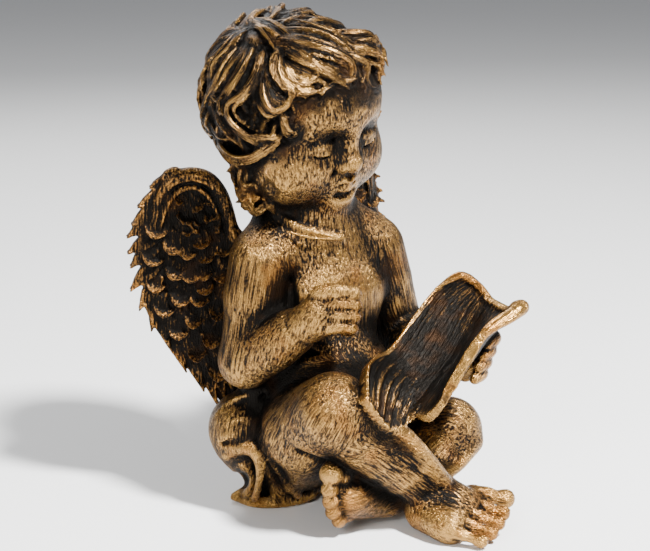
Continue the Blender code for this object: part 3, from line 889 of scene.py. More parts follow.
class Wing:
    """The plane of one wing: reach outward from the back, rise upward, forward out of its face."""

    def __init__(self, side):
        self.root = WING_ROOT * (side, 1, 1)
        spread = WING_SPREAD[side > 0]
        self.out = np.array((side * math.sin(spread), math.cos(spread), 0))
        self.front = np.array((side * math.cos(spread), -math.sin(spread), 0))
        self.up = np.array((0, 0, 1.0))
        self.round = []
        self.pointed = []

    def at(self, reach, rise, forward=0.0):
        """The wing is a little hollow: its outer edge and its tip come forward."""
        forward = forward + 2.6 * ((reach - 26) / 26) ** 2 + 0.8 * max(0.0, (-20 - rise) / 40)
        return self.root + self.out * reach + self.up * rise + self.front * forward

    def feather(self, root, tip, width, depth, lift_root, lift_tip, face=1, pointed=False):
        """Adds a feather from root to tip, each (reach, rise), standing off the wing by its lifts."""
        start = self.at(*root, face * lift_root)
        along = self.at(*tip, face * lift_tip) - start
        length = float(np.linalg.norm(along))
        along /= length
        normal = self.front * face - along * float(self.front @ along) * face
        normal /= np.linalg.norm(normal)
        across = np.cross(along, normal)
        frame_of_feather = Matrix(np.column_stack((across, along, normal)).tolist())
        row = self.pointed if pointed else self.round
        row.append((tuple(start), tuple(frame_of_feather.to_euler("XYZ")), (width, length, depth)))


# The outline of the board behind the feathers of a wing as (reach, rise), from its top round to the tip.
WING_BACK = ((17, 21), (21, 27), (29, 29), (36, 27), (40, 22), (42.5, 14), (44, 5), (44.5, -6), (44, -16),
             (41.5, -27), (36, -36), (30, -44.5), (24, -52.5), (18.5, -61), (12, -58), (7, -40), (4, -18),
             (8, 0), (14, 12))

# Feathers of a wing from the back row to the front: row, pointed or round, width, then (reach, rise) of
# each one's root and tip.
FEATHERS = (
    (0, True, 6.6, ((33, 29), (41, 28.6)), ((36, 27), (45.8, 24.2)), ((38, 23), (49.8, 17)),
     ((40, 19), (52.3, 11)), ((41, 14), (54.4, 5.8)), ((42, 8), (54.2, 0)), ((43, 3), (53.6, -5.6)),
     ((43, -3), (53.2, -14.4)),
     ((43, -9), (50.6, -22.4)), ((42, -15), (45.8, -30.4))),
    (0, True, 8.5, ((46, -14), (39.2, -37.5)), ((44, -18), (32.4, -47)), ((40, -20), (26, -55.5)),
     ((36, -18), (20, -63)), ((30, -18), (17.5, -60)), ((24, -18), (14.5, -56))),
    (1, False, 10, ((38, 22), (44.5, 6)), ((40, 10), (46, -5)), ((40, 0), (44.5, -15)), ((38, -9), (41, -25)),
     ((34, -16), (35.5, -34)), ((29, -22), (28.5, -43)), ((21, -26), (21, -51))),
    (2, False, 9.5, ((33, 14), (38, -1)), ((33, 3), (37.5, -11)), ((31, -6), (35.5, -21)),
     ((27, -14), (30.5, -30)), ((20, -18), (23.5, -38))),
    (3, False, 8.5, ((30, 9), (32, -3)), ((29, -1), (31, -12)), ((25, -8), (28, -21)),
     ((18, -10), (21, -27))),
    (4, False, 7.8, ((28, 10), (25.2, 1.6)), ((27, 4), (24, -4.6)), ((27.5, -2), (25.4, -10.8)),
     ((26, -8), (24.5, -16.8)), ((20, 8), (17.6, -2)), ((19.5, -2), (17.5, -12))),
)


def lay_feathers(wing, rng):
    """Rows of feathers on both faces of the wing, each row standing higher than the one behind it."""
    for row, pointed, width, *places in FEATHERS:
        height = 0.2 + 0.65 * row
        for root, tip in places:
            root = np.array(root) + rng.uniform(-0.6, 0.6, 2)
            tip = np.array(tip) + rng.uniform(-0.4, 0.4, 2)
            wide = width * rng.uniform(0.92, 1.12)
            stand = height + (1.2 if pointed else 2.2) + rng.uniform(0, 0.8)
            wing.feather(root, tip, wide, FEATHER_DEPTH[0], height - 0.8, stand, pointed=pointed)
            wing.feather(root, tip, wide, FEATHER_DEPTH[1], 0.7 * height - 0.6, 0.7 * stand, -1, pointed)
    # Small fluffy feathers in the hollow below the shoulder of the wing.
    for _ in range(TUFTS):
        place = np.array((rng.uniform(21, 33), rng.uniform(8, 22)))
        turn = rng.uniform(-1.2, 1.2)
        way = np.array((math.sin(turn), -math.cos(turn)))
        wing.feather(place - way * 3, place + way * 4, rng.uniform(3, 4.6), 2.2, 1.2, 3.4)


def model_board(wing):
    """The flat body of the wing that the feathers stand on."""
    outline = smooth_path(WING_BACK + WING_BACK[:1], 3)[:-1]
    board = bmesh.new()
    for forward in (1.3, -1.3):
        rim = [board.verts.new(wing.at(reach, rise, forward)) for reach, rise in outline]
        hub = board.verts.new(wing.at(24, -8, forward))
        for a, b in zip(rim, rim[1:] + rim[:1]):
            board.faces.new((a, b, hub))
    bmesh.ops.bridge_loops(board, edges=[edge for edge in board.edges if edge.is_boundary])
    return closed_mesh(board, "board")


def feather_points(row):
    """A mesh of points, one to a feather, that carry its turn and size."""
    places = bpy.data.meshes.new("places")
    places.from_pydata([feather[0] for feather in row], [], [])
    for name, part in (("turn", 1), ("size", 2)):
        attribute = places.attributes.new(name, "FLOAT_VECTOR", "POINT")
        values = np.array([feather[part] for feather in row], dtype=np.float32)
        attribute.data.foreach_set("vector", values.ravel())
    return places


def dress_wing(lump, wing):
    """The arm of the wing from the back up behind the shoulder, its rolled rim and the rim's fine ridges."""
    lump.rope([(*wing.at(-7, -20, 0), 5), (*wing.at(2, -12, 0), 5.4), (*wing.at(9, -4, 0.5), 4.6),
               (*wing.at(13, 4, 1), 3.2)], blend=3)
    rim = [(13, 2, 2.8), (14.6, 9, 2.5), (16.4, 16, 2.6), (19, 22.5, 2.8), (23.5, 27.4, 3.0), (30, 29, 3.0),
           (36.5, 27.2, 2.7), (40.6, 22.2, 2.1), (43, 15.5, 1.6), (44.4, 8, 1.0)]
    lump.rope([(*wing.at(reach, rise, 1.2), thick) for reach, rise, thick in rim], blend=1.2)
    for ridge in range(4):
        offset = (ridge - 1.2) / 1.7
        lines = []
        for reach, rise, thick in rim:
            inward = np.array((27 - reach, 4 - rise)) / math.hypot(27 - reach, 4 - rise)
            spot = np.array((reach, rise)) + inward * thick * math.sin(offset)
            lift = 1.0 + thick * math.cos(offset) + 0.3 * math.sin(0.6 * rise + 2 * ridge)
            lines.append((*wing.at(*spot, lift), 0.75))
        lump.rope(lines, blend=0.3)
    inner = [(18, 6, 0.7), (19.5, 13, 0.9), (22.5, 20, 1.0), (28, 24.4, 1.0), (34.5, 23, 1.0),
             (39, 17, 0.9), (41.5, 9, 0.7)]
    lump.rope([(*wing.at(reach, rise, 2.6), thick) for reach, rise, thick in inner], blend=0.6)


def model_wings(lump):
    """Both wings, of a board, feathers on its two faces and a rim."""
    vanes = []
    for pointed in (False, True):
        vanes.append(bpy.data.objects.new("vane", vane_mesh(pointed)))
        bpy.context.scene.collection.objects.link(vanes[-1])
    tree, vane_input = feather_nodes()
    for side in (-1, 1):
        wing = Wing(side)
        lay_feathers(wing, np.random.default_rng(5))
        meshes = [model_board(wing)]
        for vane, row in zip(vanes, (wing.round, wing.pointed)):
            meshes.append(grown(feather_points(row), tree, vane_input, vane))
        for mesh in meshes:
            lump.take(mesh)
            bpy.data.meshes.remove(mesh)
        dress_wing(lump, wing)
    for vane in vanes:
        bpy.data.objects.remove(vane)


# ---------------------------------------------------------------- book

def point_on(corners, share):
    """The point a share of the way along the smooth line through some corners."""
    line = smooth_path(corners, 8)
    run = np.concatenate(([0], np.cumsum(np.linalg.norm(np.diff(line, axis=0), axis=1))))
    run /= run[-1]
    return np.array([np.interp(share, run, line[:, i]) for i in range(line.shape[1])])


def page_mesh(start, end, near, far, lined):
    """A thick block of pages between four edges, beaded all round but for the gutter and, if lined,
    with the edges of loose pages."""
    rows, columns = 110, 80

    def curved(corners, count):
        return np.array([point_on(corners, k / count) for k in range(count + 1)])

    near_line, far_line = curved(near, rows), curved(far, rows)
    start_line, end_line = curved(start, columns), curved(end, columns)
    u = np.linspace(0, 1, rows + 1)[:, None, None]
    v = np.linspace(0, 1, columns + 1)[None, :, None]
    sheet = (1 - v) * near_line[:, None] + v * far_line[:, None]
    sheet = sheet + (1 - u) * start_line[None] + u * end_line[None]
    sheet -= (1 - u) * (1 - v) * near_line[0] + (1 - u) * v * far_line[0]
    sheet -= u * (1 - v) * near_line[-1] + u * v * far_line[-1]
    normal = np.cross(np.gradient(sheet, axis=0), np.gradient(sheet, axis=1))
    normal /= np.linalg.norm(normal, axis=2)[:, :, None] + 1e-9
    u, v = u[:, :, 0], v[:, :, 0]
    to_rim = np.minimum(np.minimum(u, 1 - u) * PAGE_LENGTH, (v if lined else 1 - v) * PAGE_WIDTH)
    # A bead along the rim and a groove inside it.
    relief = 0.55 * np.exp(-((to_rim - 0.6) / 0.6) ** 2) - 0.45 * np.exp(-((to_rim - 2.2) / 0.8) ** 2)
    if lined:
        low = np.clip((0.62 - u) / 0.3, 0, 1) * np.clip((0.75 - v) / 0.2, 0, 1)
        relief = relief + 0.38 * low * np.sin(2 * math.pi * (9 * v + 1.2 * u))
    relief = relief + 0.18 * np.sin(9 * u + 5 * v) + 0.1 * np.sin(23 * u - 9 * v)
    half = BOOK_THICKNESS / 2 + relief
    top = sheet + normal * half[:, :, None]
    below = sheet - normal * half[:, :, None]
    points = np.vstack((top.reshape(-1, 3), below.reshape(-1, 3)))
    count = (rows + 1) * (columns + 1)
    number = np.arange(count).reshape(rows + 1, columns + 1)
    faces = np.stack((number[:-1, :-1], number[1:, :-1], number[1:, 1:], number[:-1, 1:]), axis=-1)
    faces = faces.reshape(-1, 4)
    loop = np.concatenate((number[0, :-1], number[:-1, -1], number[-1, :0:-1], number[:0:-1, 0]))
    wall = np.column_stack((loop, np.roll(loop, -1), np.roll(loop, -1) + count, loop + count))
    rough = bpy.data.meshes.new("rough_pages")
    all_faces = np.vstack((faces, faces[:, ::-1] + count, wall[:, ::-1]))
    rough.from_pydata(points.tolist(), [], all_faces.tolist())
    body = bmesh.new()
    body.from_mesh(rough)
    bpy.data.meshes.remove(rough)
    flat = (np.broadcast_to(u, to_rim.shape) * PAGE_LENGTH, np.broadcast_to(v, to_rim.shape) * PAGE_WIDTH)
    studio["pages"].append((sheet.reshape(-1, 3), to_rim.ravel(), np.stack(flat, axis=-1).reshape(-1, 2)))
    return closed_mesh(body, "pages")


def model_book(lump):
    """The open book: the near and the far block of pages, bent, that meet in the gutter."""
    gutter = [(3, -52, 46.5), (23, -50, 62), (43, -46, 81.5)]
    near = [(-19, -50, 56), (-9.5, -39, 64.5), (7, -32, 67), (30, -27, 83), (40, -32, 89.5)]
    far = [(4, -65, 53.5), (22.5, -66, 77.5), (40, -66, 84.5)]
    foot_near = [near[0], (-9.5, -53, 43.5), gutter[0]]
    head_near = [near[-1], (44, -39, 86), gutter[-1]]
    foot_far = [gutter[0], (3, -59, 47.5), far[0]]
    head_far = [gutter[-1], (42, -57, 80), far[-1]]
    studio["pages"] = []
    for start, end, first, last in ((foot_near, head_near, near, gutter), (foot_far, head_far, gutter, far)):
        mesh = page_mesh(start, end, first, last, first is near)
        lump.take(mesh)
        bpy.data.meshes.remove(mesh)
    # The far block ends in a thick rounded lip, and the near block in a blunt corner.
    lump.rope([(43, -47, 81.5, 1.9), (42, -57, 80.5, 2.2), (39.5, -64, 83.5, 3.0)], blend=1.5)
    lump.rope([(24, -66, 78, 1.4), (34, -66.5, 81.5, 2.0), (40, -66, 84.5, 2.8)], blend=1.2)
    lump.rope([(32, -28, 84.5, 1.2), (39.5, -31.5, 89.3, 2.0), (42.5, -38, 87, 1.7), (43, -45, 82.5, 1.5)],
              blend=1)


# ---------------------------------------------------------------- cloth

def model_cloth(lump):
    """A cloth bunched under the child: a full pillow at the right hip that narrows to a low flared hem."""
    # The hip gives way to the cloth, which also fills the room under the back.
    lump.ball((-42, -6, 8), (20, 24, 21), blend=2.5, hollow=True)
    lump.ball((4, 21, 10), (24, 12, 12), blend=3)
    # The pillow, where it tucks in under the arm and behind, and its foot.
    lump.ball((-29, 11.5, 31), (14.2, 14, 14.5), blend=1.2)
    lump.ball((-18, 24, 35), (11, 9, 10), blend=4)
    lump.ball((-23.5, 7.6, 45), (9, 9, 6.5), blend=4)
    lump.rope([(-28, 13, 24, 11), (-25, 12, 16, 8.2), (-21, 12, 8, 6.4)], blend=3)
    # The floor of the trough behind the drape, and the notch in its side.
    lump.rope([(-33.5, 5, 20, 3), (-31, 6.5, 12, 3), (-28, 10, 5, 3.4)], blend=2)
    lump.rope([(-40, -2, 16, 3.6), (-36.3, 4, 13.5, 3.6), (-30.5, 13.5, 9.2, 3.4)], blend=2, hollow=True)
    # The drape: a roll that leaves the pillow, arches forward and falls to the hem.
    lump.rope([(-39.5, 8, 23, 2), (-37.5, 3, 27, 2.8), (-35, -2.5, 28, 3), (-33.5, -5.5, 24.5, 2.6),
               (-32.3, -4, 18, 1.7), (-31.4, -1, 11.5, 1.4), (-30.4, 3, 5.5, 1.5)], blend=1)
    # The floor between the drape and the thigh, and the fold that lies against the thigh.
    lump.rope([(-26, -1, 20, 3.4), (-22, 1, 12, 3.6), (-19.5, 3, 5, 3.6)], blend=2)
    lump.rope([(-31, -9, 25.5, 1.1), (-28.4, -7, 22.6, 1.5), (-23.6, -6, 16.3, 1.7), (-19, -5, 10.2, 1.7),
               (-15, -3, 5.5, 1.8)], blend=1.6)
    # The hem: flared to a corner at the side, and a low flange that runs out under the thigh.
    lump.rope([(-22, 11, 5, 4), (-27, 14.5, 3.4, 2.8), (-31, 17, 2.4, 1.3)], blend=2)
    lump.rope([(-20, 22, 2.4, 2.4), (-26, 17, 2.2, 1.8), (-28, 12, 2.2, 2.2), (-27, 8, 2.6, 2.4),
               (-21, 3.5, 2.6, 2.6), (-13.5, 1, 2.8, 2.8), (-7, 1, 3.4, 2.8), (0, 5, 4, 2.8),
               (8, 11, 4, 2.8)], blend=2)
    # Tucks between the folds: the deep one against the hip first.
    tucks = (
        [(-26, 1.5, 47.5, 1), (-31, -1.2, 42.5, 1.5), (-34, -4, 37.5, 1.9), (-36.5, -8.5, 32.5, 2.2),
         (-35, -12, 27, 1.8)],
        [(-41.5, 7, 28.5, 0.6), (-39.5, 0.5, 31, 0.9), (-37.5, -4.5, 31.5, 1.1)],
        [(-34.5, -7.5, 23, 0.3), (-33.4, -6.2, 17.5, 0.5), (-32.6, -3, 11, 0.4)],
        [(-31, -6.5, 23, 0.3), (-30.4, -5.4, 17, 0.5), (-29.6, -2, 11, 0.4)],
        [(-29.5, 15.5, 6.4, 0.7), (-27, 8.5, 5.4, 0.8), (-20, 2.6, 5.6, 0.8), (-11, -1, 6.2, 0.8)],
        [(-28, 1, 47.5, 0.4), (-34.5, -0.5, 42, 0.6), (-39.5, 2.5, 35, 0.4)],
        [(-33, 4.6, 45.8, 0.3), (-39, 4, 39.5, 0.5), (-42, 5, 33, 0.3)],
    )
    for tuck in tucks:
        lump.rope(tuck, blend=1.4, hollow=True)
    # Folded edges that catch the light: over the top of the pillow, and along the hem.
    edges = (
        [(-41, 13, 38, 0.5), (-37, 9.5, 43.2, 0.8), (-32.5, 5, 46.4, 0.9), (-27, 1.5, 48, 0.9),
         (-22.5, 0.5, 49, 0.7)],
        [(-31.6, 17, 1.4, 0.8), (-28.6, 7, 1.2, 0.9), (-22, 1.4, 1.2, 0.9), (-13, -1.4, 1.6, 0.9),
         (-6, -1, 2.4, 0.8)],
    )
    for edge in edges:
        lump.rope(edge, blend=1.4)


# ---------------------------------------------------------------- casting

def shell_labels(count, edges):
    """A number for every point that is the same on all points joined by edges."""
    label = np.arange(count)
    while True:
        first, second = label[edges[:, 0]], label[edges[:, 1]]
        if np.array_equal(first, second):
            return label
        lowest = np.minimum(first, second)
        np.minimum.at(label, first, lowest)
        np.minimum.at(label, second, lowest)
        while True:
            shorter = label[label]
            if np.array_equal(shorter, label):
                break
            label = shorter


def skin_of(lump):
    """Points in millimetres and quads of the one outer skin of the clay, flat underneath."""
    heights = lump.low[2] + lump.grain * np.arange(lump.size[2], dtype=np.float32)
    field = np.maximum(lump.field, -heights[None, None, :])
    grid = openvdb.FloatGrid(FAR)
    grid.copyFromArray(np.ascontiguousarray(field, dtype=np.float32))
    points, quads = grid.convertToQuads(isovalue=0.0)
    quads = quads.astype(np.int64)
    edges = np.vstack((quads[:, :2], quads[:, 1:3], quads[:, 2:]))
    label = shell_labels(len(points), edges)
    biggest = np.argmax(np.bincount(label))
    quads = quads[label[quads[:, 0]] == biggest]
    used = np.unique(quads)
    number = np.zeros(len(points), dtype=np.int64)
    number[used] = np.arange(len(used))
    points = points[used].astype(np.float64) * lump.grain + lump.low
    points[:, 2] = np.maximum(points[:, 2], 0)
    return points, number[quads]


def mesh_of_quads(name, points, quads):
    """A mesh made at once from arrays, which is quicker than face by face."""
    mesh = bpy.data.meshes.new(name)
    mesh.vertices.add(len(points))
    mesh.vertices.foreach_set("co", np.ascontiguousarray(points, dtype=np.float32).ravel())
    mesh.loops.add(quads.size)
    mesh.loops.foreach_set("vertex_index", quads.astype(np.int32).ravel())
    mesh.polygons.add(len(quads))
    mesh.polygons.foreach_set("loop_start", np.arange(0, quads.size, 4, dtype=np.int32))
    mesh.update(calc_edges=True)
    return mesh


def facing_out(mesh):
    """True if the closed mesh's faces point outwards, from the sign of its volume."""
    a, b, c = np.moveaxis(coordinates(mesh).astype(float)[triangles(mesh)], 1, 0)
    return float(np.einsum("ij,ij->i", a, np.cross(b, c)).sum()) > 0


def cast():
    """Turns the clay into one closed mesh in the frame's metres."""
    points, quads = skin_of(clay())
    placed = (points + np.array((0, SETBACK, 0))) * MILLIMETRE
    mesh = mesh_of_quads("rough_casting", placed, quads)
    if not facing_out(mesh):
        mesh.flip_normals()
    figure = bpy.data.objects.new("angel_casting", mesh)
    bpy.context.scene.collection.objects.link(figure)
    limit = bpy.context.scene.angel_casting.triangles
    if 2 * len(quads) > limit:
        modifier = figure.modifiers.new("thin", "DECIMATE")
        modifier.ratio = limit / (2 * len(quads))
        thinned = evaluated_mesh(figure)
        figure.modifiers.remove(modifier)
        figure.data = thinned
        bpy.data.meshes.remove(mesh)
    figure.data.name = "angel_casting"
    figure.data.polygons.foreach_set("use_smooth", np.ones(len(figure.data.polygons), dtype=bool))
    return figure


# ---------------------------------------------------------------- surface values

def blurred(volume, reach, rounds=3):
    """The volume averaged over boxes of cells, three rounds being close to a soft round blur."""
    for axis in range(3):
        for _ in range(rounds):
            pad = [(0, 0)] * 3
            pad[axis] = (reach + 1, reach)
            total = np.cumsum(np.pad(volume, pad, mode="edge"), axis=axis, dtype=np.float32)
            count = volume.shape[axis]
            high = [slice(None)] * 3
            low = [slice(None)] * 3
            high[axis] = slice(2 * reach + 1, 2 * reach + 1 + count)
            low[axis] = slice(0, count)
            volume = (total[tuple(high)] - total[tuple(low)]) / (2 * reach + 1)
    return volume


def sampled(volume, places):
    """Values of a volume at places given in cells."""
    places = np.clip(places, 0, np.array(volume.shape) - 1.001)
    base = places.astype(int)
    part = places - base
    value = 0
    for corner in range(8):
        step = np.array((corner & 1, corner >> 1 & 1, corner >> 2 & 1))
        weight = np.prod(np.where(step, part, 1 - part), axis=1)
        cell = base + step
        value = value + weight * volume[cell[:, 0], cell[:, 1], cell[:, 2]]
    return value


def fullness(lump, points, reach, coarse):
    """How much of the room round each point is metal: half on a flat, more in a hollow, less on a ridge."""
    solid = np.clip(0.5 - lump.field[::coarse, ::coarse, ::coarse] / (lump.grain * coarse), 0, 1)
    cells = max(1, round(reach / (lump.grain * coarse)))
    return sampled(blurred(solid, cells), (points - lump.low) / (lump.grain * coarse))


def store(mesh, name, values):
    """Keeps a value or a vector for every point of a mesh."""
    vector = values.ndim == 2
    attribute = mesh.attributes.new(name, "FLOAT_VECTOR" if vector else "FLOAT", "POINT")
    plain_values = np.ascontiguousarray(values, dtype=np.float32).ravel()
    attribute.data.foreach_set("vector" if vector else "value", plain_values)


# Bones that the gold was brushed over: name, the bone it joins, start, end, thickness, how much shorter a
# streak is squeezed along it, and the way the brush went where that is not along the bone.
BRUSHED = (
    ("trunk", None, (0, 8, 20), (0, 6, 104), 24, 0.06, None),
    ("head", "trunk", (-4, 10, 112), (-8, 12, 184), 30, 0.3, None),
    ("right_arm", "trunk", RIGHT_SHOULDER, RIGHT_ELBOW, 11, 0.07, None),
    ("right_forearm", "right_arm", RIGHT_ELBOW, RIGHT_WRIST, 9, 0.22, (0, -0.4, 1)),
    ("left_arm", "trunk", LEFT_SHOULDER, LEFT_ELBOW, 11, 0.07, None),
    ("left_forearm", "left_arm", LEFT_ELBOW, LEFT_WRIST, 9, 0.22, (0, -0.4, 1)),
    ("right_thigh", "trunk", RIGHT_HIP, RIGHT_KNEE, 15, 0.08, (0.2, -0.5, 1)),
    ("right_shin", "right_thigh", RIGHT_KNEE, RIGHT_ANKLE, 10, 0.06, None),
    ("right_foot", "right_shin", RIGHT_ANKLE, (30, -63, 9), 9, 0.25, None),
    ("left_thigh", "trunk", LEFT_HIP, LEFT_KNEE, 15, 0.08, None),
    ("left_shin", "left_thigh", LEFT_KNEE, LEFT_ANKLE, 10, 0.07, None),
    ("cloth", "trunk", (-30, 12, 44), (-34, 9, 16), 13, 0.08, None),
    ("hem", "trunk", (-30, 13, 2), (6, 4, 3), 3, 0.1, None),
    ("book", "left_forearm", (-6, -49, 50), (42, -42, 86), 9, 0.1, None),
)


def squeezing(start, axis, squeeze, origin):
    """A function that squeezes points along an axis through start, and moves start to origin."""
    matrix = np.eye(3) - (1 - squeeze) * np.outer(axis, axis)

    def squeezed(points):
        return (points - start) @ matrix.T + origin

    return squeezed


def brush_coordinates(points):
    """Coordinates squeezed along the way the gold was brushed, so that a pattern on them is streaked."""
    frames, total, blend = {}, 0, 0
    for name, parent, start, end, thick, squeeze, way in BRUSHED:
        start, end = np.array(start, dtype=float), np.array(end, dtype=float)
        axis = end - start if way is None else np.array(way, dtype=float)
        axis /= np.linalg.norm(axis)
        origin = frames[parent](start) if parent else start
        frames[name] = squeezing(start, axis, squeeze, origin)
        offset = points - start
        along = np.clip(offset @ (end - start) / ((end - start) @ (end - start)), 0, 1)
        gap = np.linalg.norm(offset - along[:, None] * (end - start), axis=1) - thick
        # The nearest bone counts by far the most, so that streaks only bend close to a joint.
        weight = 1 / (np.maximum(gap, 0) + 3) ** 6
        total = total + weight
        blend = blend + weight[:, None] * frames[name](points)
    return blend / total[:, None]


def hair_coordinates(points, strokes):
    """Turns the strokes along the locks for the points that lie on the hair; also tells which those are."""
    locks = studio["locks"]
    spines, ways, sides, rises, runs = (np.concatenate(lines) for lines in zip(*locks))
    owners = np.concatenate([np.full(len(lock[0]), number) for number, lock in enumerate(locks)])
    tree = tree_of(spines)
    hairy = np.zeros(len(points))
    for index in np.nonzero(np.linalg.norm(points - HEAD_CENTRE, axis=1) < HAIR_REACH)[0]:
        _, nearest, gap = tree.find(points[index])
        if gap > HAIR_DEPTH:
            continue
        offset = points[index] - spines[nearest]
        along = runs[nearest] + offset @ ways[nearest]
        depth = offset @ rises[nearest] + LOCK_SHIFT * owners[nearest]
        strokes[index] = (offset @ sides[nearest], HAIR_SQUEEZE * along, depth)
        hairy[index] = 1
    return hairy


# Hollows darkened by dark wash pooled there and by painted shade: centre, radius and how dark.
WASH_AND_SHADE_POOLS = (
    ((-3, -20, 55), 12, 0.9), ((18, -16, 66), 9, 1.0), ((26, -24, 60), 8, 1.0), ((-23, -7, 86), 5, 0.9),
    ((-25, -9, 77), 7, 0.9), ((-27, 2, 44), 7, 0.8), ((-32, 6, 30), 9, 0.4), ((-14, -24, 22), 9, 0.6),
    ((4, -34, 26), 9, 0.6), ((24, -12, 90), 5, 0.5), ((-33, 3, 21), 8, 0.5), ((-23, -5, 19), 6, 0.5),
    ((-24, -8, 86), 5, 1.1), ((-22, -8, 94), 4, 0.9), ((-18, 0, 117), 5, 0.4),
    ((-27, 0, 14), 6, 0.5), ((-8, -34, 14), 8, 0.4), ((-36, 5, 14), 6, 0.5),
)

# Places on the chest and by the neck painted brighter, as painted light: centre, radius and how bright.
PAINTED_LIGHT_PLACES = (
    ((-28, 3, 128), 12, 0.1), ((6, -12, 98), 11, 0.2), ((-8, -10, 106), 11, 0.3), ((0, -14, 90), 14, 0.3),
    ((-8, -9, 101), 13, 0.3),
)

# Toes, fingers and a corner of the book that were rubbed down to redder metal: centre and radius.
REDDENED = (((30, -66, 10), 9), ((24, -70, 5), 8), ((-16, -36, 12), 10), ((32, -65, 70), 10),
            ((-6, -33, 82), 8), ((42, -38, 88), 8), ((-10, -34, 66), 8))


def soft_ball(points, centre, radius):
    """One well inside a ball, fading to nothing half a radius outside it."""
    return np.clip(1.5 - np.linalg.norm(points - np.array(centre), axis=1) / radius, 0, 1)


def on_pages(points, wash_and_painted_shading, strokes):
    """Darkens the flat of the pages, most in their middle, and runs the brush marks along them."""
    for sheet, to_rim, flat in studio["pages"]:
        tree = tree_of(sheet)
        low, high = sheet.min(0) - 3, sheet.max(0) + 3
        for index in np.nonzero(np.all((points > low) & (points < high), axis=1))[0]:
            _, nearest, gap = tree.find(points[index])
            if gap < PAGE_REACH:
                along, across = flat[nearest]
                # The darkening thins towards both ends of a page and ends short of its rim.
                page_end = abs(2 * along / PAGE_LENGTH - 1) ** 1.5
                held = (1.16 - 0.82 * page_end) * min(1.0, max(0.0, to_rim[nearest] - 0.3))
                wash_and_painted_shading[index] = max(wash_and_painted_shading[index], PAGE_DARKENING * held)
                strokes[index] = (across, PAGE_SQUEEZE * along, gap)


def on_wings(points):
    """One on the wings, fading to nothing towards the back and the head."""
    x, y, z = np.abs(points[:, 0]), points[:, 1], points[:, 2]
    winged = np.clip((y - 16 - 8 * (x < 20)) / 5, 0, 1) * (z > 36)
    winged *= np.clip((118 + 14 * (x > 24) - z) / 6, 0, 1)
    return winged * np.clip((x - 14) / 5, 0, 1)


# How full of metal the room round a point is, over a small, a middling and a wide reach: name, reach, how
# coarsely the clay is read, whether more metal counts up or down, and the least and the most kept. The
# middling one darkens creases as wash and painted shade, the wide one darkens hollows as painted shade.
RELIEF = (
    ("ridge", 1.1, 1, -1, -0.35, 0.12),
    ("fold", 2.4, 2, 1, -0.05, 0.3),
    ("deep", 6.0, 4, 1, -0.06, 0.35),
)


def write_surface_values(figure):
    """Keeps on the mesh what the finish goes by: relief, brush strokes, redder metal, and wash with painted
    shade and painted light in it.
    """
    lump = clay()
    mesh = figure.data
    points = coordinates(mesh) / MILLIMETRE - np.array((0, SETBACK, 0))
    for name, reach, coarse, way, least, most in RELIEF:
        store(mesh, name, np.clip(way * (fullness(lump, points, reach, coarse) - 0.5), least, most))
    strokes = brush_coordinates(points)
    wash_and_painted_shading = HAIR_WASH * hair_coordinates(points, strokes)
    on_pages(points, wash_and_painted_shading, strokes)
    store(mesh, "stroke", strokes * MILLIMETRE)
    winged = on_wings(points)
    copper = winged * WING_COPPER
    for centre, radius in REDDENED:
        copper = np.maximum(copper, soft_ball(points, centre, radius))
    # Pooled wash and painted shade darken these places.
    for centre, radius, share in WASH_AND_SHADE_POOLS:
        wash_and_painted_shading = np.maximum(wash_and_painted_shading, share * soft_ball(points, centre, radius))
    # Painted light brightens these places.
    for centre, radius, share in PAINTED_LIGHT_PLACES:
        wash_and_painted_shading = wash_and_painted_shading - share * soft_ball(points, centre, radius)
    store(mesh, "copper", copper)
    # Painted light brightens a place only so far; the wings keep their darkening.
    least = np.where(winged > 0, winged * WING_DARKENING, -MOST_PAINTED_LIGHT)
    # The wash value also carries painted shade, and painted light where it falls below zero.
    store(mesh, "wash_and_painted_shading", np.maximum(wash_and_painted_shading, least))


# ---------------------------------------------------------------- finish

# How fine the marks in the finish are, in waves to a metre.
BRISTLES = 1350                      # of the brush
STREAKS = 480                        # the wider strokes of gold
PATCHES = 70                         # where it took well or badly
GRIT = 1400                          # of the cast surface
GLOW = 95                            # places where the metal is redder


def nodes_for(material):
    """The emptied node tree of a material, and its shader."""
    material.use_nodes = True
    tree = material.node_tree
    tree.nodes.clear()
    shader = tree.nodes.new("ShaderNodeBsdfPrincipled")
    surface = tree.nodes.new("ShaderNodeOutputMaterial")
    tree.links.new(shader.outputs["BSDF"], surface.inputs["Surface"])
    return tree, shader


